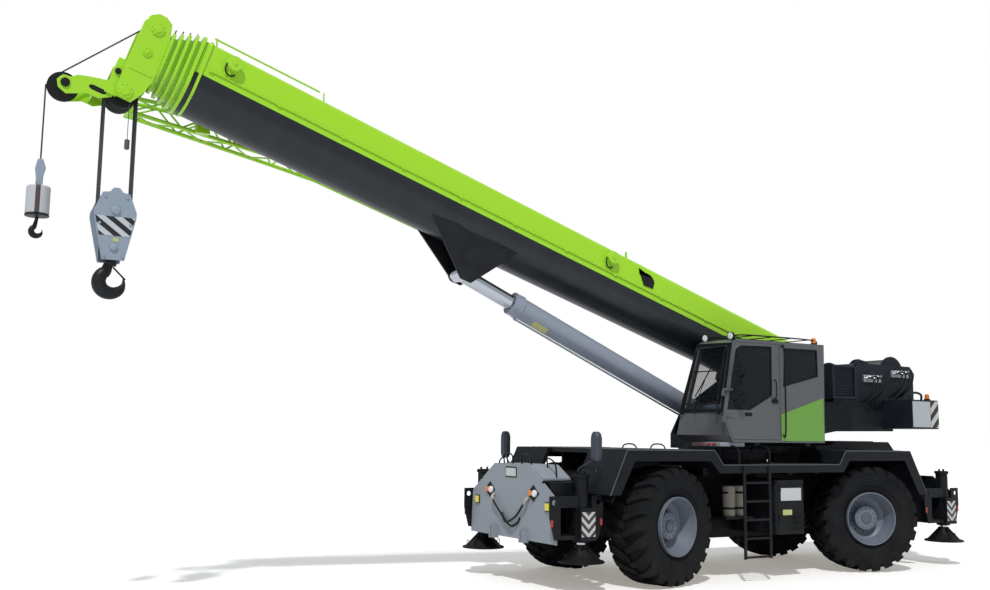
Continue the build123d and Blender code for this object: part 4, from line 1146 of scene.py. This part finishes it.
bracket = Piece("counterweight_brackets", winch_blue, "upper", "winch_blue_grey")
for hand in (1, -1):
    bracket.tube(
        [
            (mid_x - 3.85, hand * 1.2, cw_top), (mid_x - 3.85, hand * 1.2, cw_top + 0.1),
            (mid_x - 4.0, hand * 1.2, cw_top + 0.14), (mid_x - 4.15, hand * 1.2, cw_top + 0.1),
            (mid_x - 4.15, hand * 1.2, cw_top),
        ],
        0.022,
    )
bracket.fit()

# Boom: telescopic box sections of high-strength steel, folded with a round belly. The
# base section is gloss green above a black belly, and the four others show as collars.
boom_angle = math.radians(18.1)
along_boom = Vector((math.cos(boom_angle), 0, math.sin(boom_angle)))
off_boom = Vector((-math.sin(boom_angle), 0, math.cos(boom_angle)))
sideways = Vector((0, 1, 0))
belly_v = -0.08
top_v = 0.94
boom_half = 0.43
boom_tail = -0.3
collar_s = 11.66
collar_step = 0.095
nest = 0.032
tube_wall = 0.018
border_v = 0.436
boom_green = Finish("boom_green", green_paint, 0.34, coat=0.35).weather(dust=0.05, top=9.0)
dark_metal = Finish("dark_metal", (0.008, 0.009, 0.011), 0.45).weather(dust=0.08, top=9.0)
boom_two_tone = Finish("boom_two_tone", green_paint, 0.4, coat=0.12)
tube_x, _, tube_z = boom_two_tone.axes()
above = (tube_z - pivot.z) * math.cos(boom_angle) - (tube_x - pivot.x) * math.sin(boom_angle)
boom_two_tone.weather(
    base=boom_two_tone.mix(above > border_v, (0.004, 0.006, 0.01, 1), (*green_paint, 1)), dust=0.05, top=9.0
)


def boom_at(s, v, y=0.0):
    """The point s along the boom from its pivot, v above that line and y to the left."""
    return pivot + along_boom * s + off_boom * v + sideways * y


def tube_line(shrink):
    """Half-round belly, upright sides and rounded top corners, as (y, v) points."""
    half, top, low = boom_half - shrink, top_v - shrink, belly_v + shrink
    line = []
    for n in range(25):
        turn = math.pi + math.pi * n / 24
        line.append((half * math.cos(turn), low + 0.39 + 0.39 * math.sin(turn)))
    for n in range(5):
        turn = math.pi / 8 * n
        line.append((half - 0.07 + 0.07 * math.cos(turn), top - 0.07 + 0.07 * math.sin(turn)))
    for n in range(5):
        turn = math.pi / 2 + math.pi / 8 * n
        line.append((0.07 - half + 0.07 * math.cos(turn), top - 0.07 + 0.07 * math.sin(turn)))
    return line


def boom_tube(piece, outer, inner, s0, s1):
    """A hollow stretch of tube between two shrunk outlines, from s0 to s1."""
    rings = []
    for shrink, s in ((outer, s0), (outer, s1), (inner, s1), (inner, s0)):
        rings.append([boom_at(s, v, y) for y, v in tube_line(shrink)])
    piece.loops(rings, closed=True)


base_section = Piece("boom_base_tube", boom_two_tone, "boom", "boom_green")
boom_tube(base_section, 0, tube_wall, boom_tail, collar_s - 0.06)
base_section.fit(replaces=["boom_base"])
base_collar = Piece("boom_base_collar", boom_green, "boom", "boom_green")
boom_tube(base_collar, -0.035, 0.03, collar_s - 0.05, collar_s)
boom_tube(base_collar, -0.02, 0.03, collar_s - 0.16, collar_s - 0.12)
base_collar.fit(bevel=0.004)
foot_bosses = Piece("boom_foot_bosses", dark_metal, "boom", "boom_green")
lift_s, lift_v = 6.6, -0.47
for hand in (1, -1):
    foot_bosses.plate(
        [(boom_tail, 0.42), (boom_tail, 0), (-0.16, -0.17), (0.16, -0.17), (0.62, -0.06), (0.62, 0.42)],
        boom_at(0, 0, 0.55 if hand > 0 else -0.42), along_boom, off_boom, 0.13,
    )
foot_bosses.fit(bevel=0.004)
# the lift lug: two cheeks welded under the belly, drawn together towards the pin
lug = Piece("lift_lug", dark_metal, "boom", "boom_green")
for hand in (1, -1):
    outer = [
        (lift_s - 0.75, 0.2, 0.4), (lift_s - 0.14, -0.6, 0.19), (lift_s + 0.06, -0.6, 0.19),
        (lift_s + 0.13, -0.53, 0.19), (lift_s + 1.15, 0.26, 0.41), (lift_s + 0.2, 0.1, 0.38),
    ]
    rings = [[boom_at(s, v, hand * (y - back)) for s, v, y in outer] for back in (0.04, 0)]
    lug.loops(rings)
    lug.turned(
        [(0, 0.13), (0.02, 0.13), (0.026, 0.08), (0.027, 0.001)],
        boom_at(lift_s, lift_v, hand * 0.19),
        (0, hand, 0),
        28,
    )
lug.fit(bevel=0.006)

for number in (2, 3, 4, 5):
    step = number - 1
    front = collar_s + step * collar_step
    body = "boom_%d" % number
    section = Piece("boom_tube_%d" % number, boom_green, body, "boom_green")
    boom_tube(section, step * nest, step * nest + tube_wall, boom_tail + 0.48 + step * 0.12, front - 0.02)
    section.fit(replaces=["boom_section_%d" % number])
    collar = Piece("boom_collar_%d" % number, boom_green, body, "boom_green")
    boom_tube(collar, step * nest - 0.045, step * nest + tube_wall, front - 0.042, front)
    collar.fit(bevel=0.004)
    pins = Piece("boom_collar_pins_%d" % number, edge_grey, body, "light_grey")
    for y in (-0.22, 0.22):
        pins.rod(
            boom_at(front - 0.025, top_v - step * nest + 0.04, y),
            boom_at(front - 0.025, top_v - step * nest + 0.13, y),
            0.01,
        )
    pins.fit()

boom_trim = Piece("boom_side_rails", boom_green, "boom", "boom_green")
clamps = Piece("boom_rail_clamps", dark_metal, "boom", "boom_green")
reels = Piece("boom_hose_reels", boom_green, "boom", "boom_green")
for hand in (1, -1):
    y = hand * (boom_half + 0.012)
    boom_trim.rod(boom_at(0.75, 0.54, y), boom_at(11.4, 0.54, y), 0.011, 8)
    for s in [0.9 + 1.05 * n for n in range(11)]:
        boom_trim.plate(
            [(-0.03, -0.02), (0.03, -0.02), (0.03, 0.02), (-0.03, 0.02)],
            boom_at(s, 0.54, y + 0.014),
            along_boom,
            off_boom,
            0.026,
        )
    for s, v in ((11.145, 0.78), (4.2, 0.78)):
        reels.turned(
            [
                (0, 0.105), (0.012, 0.11), (0.02, 0.085), (0.07, 0.085), (0.08, 0.11),
                (0.092, 0.105), (0.094, 0.03), (0.105, 0.028), (0.106, 0.001),
            ],
            boom_at(s, v, hand * boom_half),
            (0, hand, 0),
            32,
        )
        clamps.tube(
            [
                boom_at(s + 0.1, v - 0.02, hand * 0.45),
                boom_at(s + 0.09, v - 0.14, hand * 0.47),
                boom_at(s, v - 0.19, hand * 0.46),
                boom_at(s - 0.06, v - 0.14, hand * 0.45),
            ],
            0.012,
        )
boom_trim.fit()
reels.fit()
gauge = Piece("boom_angle_gauge", dark_metal, "boom", "carrier_black")
gauge.plate(
    [(3.6, 0.83)] + [
        (3.4 + 0.2 * math.cos(t), 0.66 + 0.17 * math.sin(t))
        for t in [math.pi * 0.2 + 0.13 * math.pi * n for n in range(6)]
    ] + [(3.22, 0.62), (3.42, 0.6)],
    boom_at(0, 0, boom_half + 0.014), along_boom, off_boom, 0.014,
)
gauge.fit(bevel=0.002)
clamps.fit(bevel=0.003)
feeler = Piece("boom_top_rod", boom_green, "boom", "boom_green")
feeler.rod(boom_at(9.83, 1.082, 0.3), boom_at(11.5, 1.067, 0.3), 0.014)
for s, v in ((9.74, 1.09), (11.45, 1.07), (3.84, 1.05)):
    feeler.box(
        boom_at(s, 0.93, 0.3) - Vector((0.03, 0.02, 0)),
        boom_at(s, v, 0.3) + Vector((0.03, 0.02, 0.02)),
    )
feeler.fit(bevel=0.004)

# Boom head and nose: green plates that hold the sheaves between them, the folding
# nose with its own sheave in front, and the whip line laid over both.
sheave_iron = Finish("sheave_iron", (0.01, 0.01, 0.012), 0.45).weather(dust=0.1, top=9.0)
paint(sheave_iron, "head_sheaves")
head_rear = 12.04
lower_sheave = (12.33, -0.23)
upper_sheave = (12.25, 0.8)
nose_sheave = (13.04, -0.454)
head_half = 0.302
head = Piece("boom_head_plates", boom_green, "boom_5", "boom_green")
head_line = [
    (head_rear, 0.06), (head_rear + 0.06, -0.16), (12.2, -0.34), (12.4, -0.34), (12.45, -0.2),
    (12.45, 0.82), (12.4, 0.95), (12.3, 1.02), (12.2, 1.02), (12.1, 0.96), (head_rear, 0.72),
]
for y in (head_half, 0.04 - head_half):
    head.plate(head_line, boom_at(0, 0, y), along_boom, off_boom, 0.04)
for s, v, w in ((head_rear, 0.38, 0.56), (head_rear + 0.34, 0.35, 0.3)):
    head.plate(
        [
            (-head_half + 0.03, v - w / 2),
            (head_half - 0.03, v - w / 2),
            (head_half - 0.03, v + w / 2),
            (-head_half + 0.03, v + w / 2),
        ],
        boom_at(s, 0),
        sideways,
        off_boom,
        -0.05,
    )
for y in (-0.3, 0.262):
    head.plate(
        [(12.08, 0.1), (12.4, 0.1), (12.4, 0.14), (12.08, 0.14)],
        boom_at(0, 0, y + 0.05),
        along_boom,
        off_boom,
        0.05,
    )
head.fit(bevel=0.006, replaces=["boom_head"])
head_caps = Piece("head_pin_caps", boom_green, "boom_5", "boom_green")
for spot, radius in ((lower_sheave, 0.11), (upper_sheave, 0.1), ((12.26, 0.42), 0.07)):
    for hand in (1, -1):
        base = boom_at(*spot, hand * head_half)
        head_caps.turned(
            [
                (0, radius), (0.014, radius), (0.018, radius - 0.04), (0.03, radius - 0.045),
                (0.031, 0.001),
            ],
            base,
            (0, hand, 0),
            28,
        )
        head_caps.bolt_ring(
            base, (0, hand, 0), along_boom, off_boom, radius - 0.018, 8, (0.01, 0.024), 0.01
        )
head_caps.fit()

nose = Piece("nose_arms", boom_green, "boom_5", "boom_green")
nose_line = [
    (12.42, 0.1), (12.55, -0.16), (12.8, -0.23), (12.94, -0.28), (13.0, -0.345), (13.1, -0.36),
    (13.15, -0.454), (13.1, -0.55), (12.98, -0.59), (12.74, -0.46), (12.59, -0.46), (12.44, -0.36),
]
for y in (0.22, -0.2):
    nose.plate(nose_line, boom_at(0, 0, y), along_boom, off_boom, 0.02)
    nose.plate(
        [(12.4, -0.34), (12.56, -0.34), (12.56, 0.2), (12.4, 0.2)],
        boom_at(0, 0, y + 0.03),
        along_boom,
        off_boom,
        0.05,
    )
nose.plate(
    [(-0.2, -0.44), (0.2, -0.44), (0.2, -0.18), (-0.2, -0.18)],
    boom_at(12.68, 0),
    sideways,
    off_boom,
    -0.02,
)
nose.fit(bevel=0.005, replaces=["aux_nose"])
nose_marks = Piece("nose_pins_and_slots", dark_metal, "boom_5", "carrier_black")
slot = [
    (12.64 + 0.07 * math.cos(t) + (0.05 if math.cos(t) > 0 else -0.05), -0.35 + 0.035 * math.sin(t))
    for t in [math.pi / 8 * (n + 0.5) for n in range(16)]
]
for hand in (1, -1):
    nose_marks.plate(
        slot,
        boom_at(0, 0, 0.2215 if hand > 0 else -0.2005 - 0.021 + 0.002),
        along_boom,
        off_boom,
        0.002,
    )
    nose_marks.turned(
        [(0, 0.06), (0.02, 0.06), (0.025, 0.04), (0.026, 0.001)],
        boom_at(*nose_sheave, hand * 0.22),
        (0, hand, 0),
        24,
    )
    nose_marks.turned(
        [(0, 0.04), (0.03, 0.04), (0.034, 0.001)], boom_at(12.5, 0.0, hand * 0.25), (0, hand, 0), 20
    )
nose_marks.turned(
    [
        (-0.022, 0.03), (-0.022, 0.2), (-0.014, 0.205), (0, 0.175), (0.014, 0.205), (0.022, 0.2),
        (0.022, 0.03),
    ],
    boom_at(*nose_sheave),
    (0, 1, 0),
    48,
    closed=True,
)
nose_marks.fit()
rope_radius = 0.011
whip = Piece("whip_line", rope_steel, "boom_5", "rope_steel")
up_top = boom_at(upper_sheave[0] + 0.05, upper_sheave[1] + 0.185)
nose_top = boom_at(nose_sheave[0] + 0.08, nose_sheave[1] + 0.19)
whip.rod(up_top, nose_top, rope_radius)
whip.tube([boom_at(12.12, 0.93, 0.0), boom_at(12.2, 0.985), up_top], rope_radius)
whip.fit()
switches = Piece("hoist_limit_weights", edge_grey, "boom_5", "light_grey")
switch_spot = boom_at(12.2, -0.34, 0.2)
switches.rod(switch_spot, switch_spot - Vector((0, 0, 0.5)), 0.005, 6)
switches.turned(
    [(0, 0.02), (0.01, 0.035), (0.13, 0.035), (0.14, 0.02)],
    switch_spot - Vector((0, 0, 0.64)),
    (0, 0, 1),
    16,
)
switches.fit()

# Lattice jib: round-tube chords with bracing between them, stowed along the right of
# the boom on two brackets and tapering to its fork.
jib = Piece("lattice_jib", boom_green, "boom", "boom_green")
jib_y = -(boom_half + 0.09)
jib_depth = 0.48
jib_root = 1.6
jib_bay = 0.75
taper_start = 9.2
taper_length = 2.9


def jib_chords(s):
    """Lower and upper chord heights and the inner and outer chords' y at a place along."""
    taper = max(0.0, (s - taper_start) / taper_length)
    low = 0.33 - 0.012 * (s - jib_root) - 0.36 * taper
    return low, low + 0.55 - 0.33 * taper, jib_y - 0.11 * taper, jib_y - jib_depth + 0.11 * taper


jib_stops = [jib_root + jib_bay * n for n in range(15)]
for s0, s1 in zip(jib_stops, jib_stops[1:]):
    low0, high0, in0, out0 = jib_chords(s0)
    low1, high1, in1, out1 = jib_chords(s1)
    for v0, v1 in ((low0, low1), (high0, high1)):
        for y0, y1 in ((in0, in1), (out0, out1)):
            jib.rod(boom_at(s0, v0, y0), boom_at(s1, v1, y1), 0.03, 10)
    middle = (s0 + s1) / 2
    low_m, high_m, in_m, out_m = jib_chords(middle)
    for y0, y_m, y1 in ((in0, in_m, in1), (out0, out_m, out1)):
        jib.rod(boom_at(s0, low0, y0), boom_at(middle, high_m, y_m), 0.015, 8)
        jib.rod(boom_at(middle, high_m, y_m), boom_at(s1, low1, y1), 0.015, 8)
    for v0, v_m, v1 in ((low0, low_m, low1), (high0, high_m, high1)):
        jib.rod(boom_at(s0, v0, in0), boom_at(middle, v_m, out_m), 0.013, 8)
        jib.rod(boom_at(middle, v_m, out_m), boom_at(s1, v1, in1), 0.013, 8)
for s in (jib_stops[0], jib_stops[-1]):
    low, high, y_in, y_out = jib_chords(s)
    for y in (y_in, y_out):
        jib.rod(boom_at(s, low - 0.03, y), boom_at(s, high + 0.03, y), 0.032)
    for v in (low, high):
        jib.rod(boom_at(s, v, y_in), boom_at(s, v, y_out), 0.028)
for s in (4.7, 11.07):
    low = jib_chords(s)[0]
    jib.box(
        boom_at(s, low, -0.56) - Vector((0.1, 0, 0.03)),
        boom_at(s, low, -0.42) + Vector((0.1, 0, 0.16)),
    )
jib.fit(replaces=["jib"])

# Lift cylinder: a grey barrel with a bolted gland and a blank yellow plate, a chrome
# rod, and the pipe that feeds its gland end.
barrel_grey = Finish("barrel_grey", (0.27, 0.3, 0.36), 0.35, coat=0.2).weather(dust=0.08, top=6.0)
paint(barrel_grey, "lift_barrel")
paint(rod_chrome, "lift_rod")
lift_eye = boom_at(lift_s, lift_v)
lift_axis = (lift_eye - lift_foot).normalized()
lift_up = lift_axis.cross(sideways).normalized() * -1
gland = Piece("lift_gland", barrel_grey, "lift_barrel_body", "cast_grey")
barrel_end = 4.7
gland.turned(
    [
        (-0.02, 0.127), (-0.02, 0.175), (0.0, 0.2), (0.05, 0.2), (0.055, 0.185), (0.12, 0.185),
        (0.13, 0.195), (0.17, 0.195), (0.175, 0.185),
    ],
    lift_foot + lift_axis * (barrel_end - 0.155),
    lift_axis,
    40,
    closed=True,
)
gland_face = lift_foot + lift_axis * (barrel_end + 0.018)
gland.bolt_ring(gland_face, lift_axis, lift_up, sideways, 0.16, 16, (0, 0.014), 0.012)
pipe_run = ((0.5, 0.17), (0.6, 0.215), (4.2, 0.215), (4.5, 0.215), (4.58, 0.17))
gland.tube([lift_foot + lift_axis * s + lift_up * off for s, off in pipe_run], 0.016)
gland.fit()
barrel_plate = Piece("lift_blank_plate", plate_yellow, "lift_barrel_body", "light_grey")
for n in range(5):
    angle = math.radians(40 + 9 * n)
    a0, a1 = angle, angle + math.radians(9.3)
    rings = []
    for a in (a0, a1):
        radial = sideways * math.cos(a) + lift_up * math.sin(a)
        rings.append(
            [
                lift_foot + lift_axis * s + radial * r
                for s, r in ((3.95, 0.181), (4.25, 0.181), (4.25, 0.184), (3.95, 0.184))
            ]
        )
    barrel_plate.loops(rings)
barrel_plate.fit()

# Main block: two pale cheek plates over the sheaves, banded black and white across,
# with a forged hook swung from its cross-head and a latch over the throat.
block_grey = Finish("block_grey", (0.27, 0.33, 0.4), 0.42).weather(dust=0.1, top=9.0)
main_x = boom_at(*lower_sheave).x
pin_z = 5.288
cheek_face = 0.185
fall_offset = 0.2113
band_pitch = 0.23
sheave_rows = [-0.108 + 0.072 * n for n in range(4)]
block_line = [
    (0.04, 0.3), (0.085, 0.242), (0.178, 0.226), (0.275, -0.024), (0.275, -0.098), (0.146, -0.688)
]
block_line = block_line + [(-x, z) for x, z in reversed(block_line)]
cheeks = Piece("block_cheeks", block_grey, "main_hook_body", "block_grey")
for y in (cheek_face, 0.03 - cheek_face):
    cheeks.plate(block_line, (main_x, y, pin_z), (1, 0, 0), (0, 0, 1), 0.03)
for dz, radius in ((-0.012, 0.06), (-0.517, 0.05)):
    for hand in (1, -1):
        cheeks.turned(
            [(0, radius), (0.022, radius), (0.03, radius - 0.02), (0.031, 0.001)],
            (main_x, hand * cheek_face, pin_z + dz),
            (0, hand, 0),
            24,
        )
for x, z in ((0.14, 0.17), (-0.14, 0.17), (0.2, -0.2), (-0.2, -0.2), (0.12, -0.64), (-0.12, -0.64)):
    for hand in (1, -1):
        cheeks.turned(
            [(0, 0.022), (0.014, 0.022)],
            (main_x + x, hand * cheek_face, pin_z + z),
            (0, hand, 0),
            6,
        )
cheeks.fit(bevel=0.004, replaces=["main_block"])
block_band = Finish("block_band", (0.5, 0.5, 0.5), 0.45)
band_x, _, band_z = block_band.axes()
block_band.set(
    "Base Color",
    block_band.mix(
        ((band_z * 1.35 - band_x) % band_pitch) > band_pitch / 2,
        (0.012, 0.012, 0.014, 1),
        (0.52, 0.54, 0.56, 1),
    ),
)
band = Piece("block_stripes", block_band, "main_hook_body", "light_grey")
for y0 in (0.186, -0.189):
    band.plate(
        [(-0.258, -0.1), (0.258, -0.1), (0.2, -0.36), (-0.2, -0.36)],
        (main_x, y0 + 0.003, pin_z),
        (1, 0, 0),
        (0, 0, 1),
        0.003,
    )
band.fit(origin=(main_x, 0, pin_z - 0.2))
block_plate = Piece("block_blank_plate", plate_yellow, "main_hook_body", "light_grey")
block_plate.box((main_x - 0.06, cheek_face, pin_z - 0.44), (main_x + 0.02, 0.19, pin_z - 0.39))
block_plate.fit(bevel=0.001)
sheaves = Piece("block_sheaves", sheave_iron, "main_hook_body", "sheave_dark")
for y in sheave_rows:
    sheaves.turned(
        [
            (-0.034, 0.03), (-0.034, 0.195), (-0.028, 0.205), (0, 0.175), (0.028, 0.205),
            (0.034, 0.195), (0.034, 0.03),
        ],
        (main_x, y, pin_z),
        (0, 1, 0),
        40,
        closed=True,
    )
sheaves.box((main_x - 0.14, -0.15, pin_z - 0.66), (main_x + 0.14, 0.15, pin_z - 0.46))
sheaves.fit(bevel=0.004)
falls = Piece("main_rope_falls", rope_steel, "main_hook_body", "rope_steel")
for hand in (1, -1):
    x = main_x + hand * fall_offset
    for y in sheave_rows:
        falls.rod((x, y, pin_z), (x, y, boom_at(*lower_sheave).z), rope_radius, 10)
falls.fit(replaces=["main_falls"])


def forged_hook(piece, spot, size, shank):
    """A point hook: the shank turns round the bowl and thins out to its point."""
    throat = Vector((-0.21, 0, 0.115)) * size
    throat_radius = 0.4 * size
    path = [spot + Vector((0, 0, shank)), spot + Vector((0, 0, shank * 0.7 + 0.8 * size * 0.3))]
    radii = [0.2 * size, 0.22 * size]
    for degrees in range(70, -206, -15):
        aim = Vector((math.cos(math.radians(degrees)), 0, math.sin(math.radians(degrees))))
        lean = throat.dot(aim)
        near = lean + math.sqrt(max(throat_radius**2 - (throat.length_squared - lean**2), 0))
        thin = 1.0 if degrees > -150 else max(0.25, 1 - (-150 - degrees) / 60)
        half = (size - near) / 2
        path.append(spot + aim * (size - half))
        radii.append(half * thin)
    piece.tube(path, radii, 14, 3)


hook_iron = Finish("hook_iron", (0.01, 0.011, 0.013), 0.4).weather(dust=0.08, top=9.0)
hook = Piece("forged_main_hook", hook_iron, "main_hook_body", "hook_black")
hook_spot = Vector((main_x, 0, pin_z - 0.973))
forged_hook(hook, hook_spot, 0.233, 0.4)
hook.rod(hook_spot + Vector((-0.04, 0, 0.21)), hook_spot + Vector((-0.205, 0, 0.05)), 0.012)
hook.turned(
    [(0, 0.075), (0.03, 0.085), (0.07, 0.085), (0.08, 0.06)],
    (main_x, 0, pin_z - 0.75),
    (0, 0, 1),
    24,
)
hook.fit(replaces=["main_hook"])

# Ball weight: a white cast cylinder under a wedge socket, with a dark stripe down it,
# which keeps the whip line tight above a small swivel hook.
aux_x = boom_at(*nose_sheave).x + fall_offset
weight_white = Finish("weight_white", (0.5, 0.51, 0.52), 0.45)
weight_x = weight_white.axes()[0]
weight_white.set(
    "Base Color",
    weight_white.mix(abs(weight_x - 0.02) > 0.03, (0.07, 0.05, 0.045, 1), (0.5, 0.51, 0.52, 1)),
)
ball = Piece("ball_weight", weight_white, "aux_hook_body", "light_grey")
ball.turned(
    [(0, 0.12), (0.01, 0.148), (0.02, 0.15), (0.36, 0.15), (0.375, 0.14), (0.385, 0.1)],
    (aux_x, 0, 5.14),
    (0, 0, 1),
    48,
)
ball.fit(origin=(aux_x, 0, 5.3))
socket = Piece("wedge_socket", block_grey, "aux_hook_body", "block_grey")
socket.plate(
    [
        (-0.03, 5.89), (0.035, 5.89), (0.06, 5.76), (0.04, 5.62), (0.045, 5.52), (-0.04, 5.52),
        (-0.045, 5.66), (-0.07, 5.77),
    ],
    (aux_x, 0.035, 0),
    (1, 0, 0),
    (0, 0, 1),
    0.07,
)
socket.fit(bevel=0.012, replaces=["ball_hook"])
flange = Piece("ball_flange_and_hook", hook_iron, "aux_hook_body", "hook_black")
flange.turned([(0, 0.05), (0.01, 0.15), (0.03, 0.155), (0.04, 0.12)], (aux_x, 0, 5.105), (0, 0, 1), 40)
forged_hook(flange, Vector((aux_x, 0, 4.915)), 0.095, 0.2)
flange.fit()
tail_rope = Piece("whip_fall", rope_steel, "aux_hook_body", "rope_steel")
tail_rope.rod((aux_x, 0, 5.87), (aux_x, 0, boom_at(*nose_sheave).z), rope_radius, 10)
tail_rope.fit()

# Yard floor: pale concrete that takes the crane's shadow. Where the camera sees it, it
# also gives off a little light, so that it meets the white sky without a line.
yard_floor = Finish("yard_floor", (0.82, 0.82, 0.83), 0.9)
camera_ray = yard_floor.node("ShaderNodeLightPath", {}, {}, "Is Camera Ray")
yard_floor.set("Emission Color", yard_floor.mix(camera_ray, (0, 0, 0, 1), (0.3, 0.28, 0.25, 1)))
yard_floor.set("Emission Strength", 1.0)
yard.data.materials.append(yard_floor.material)
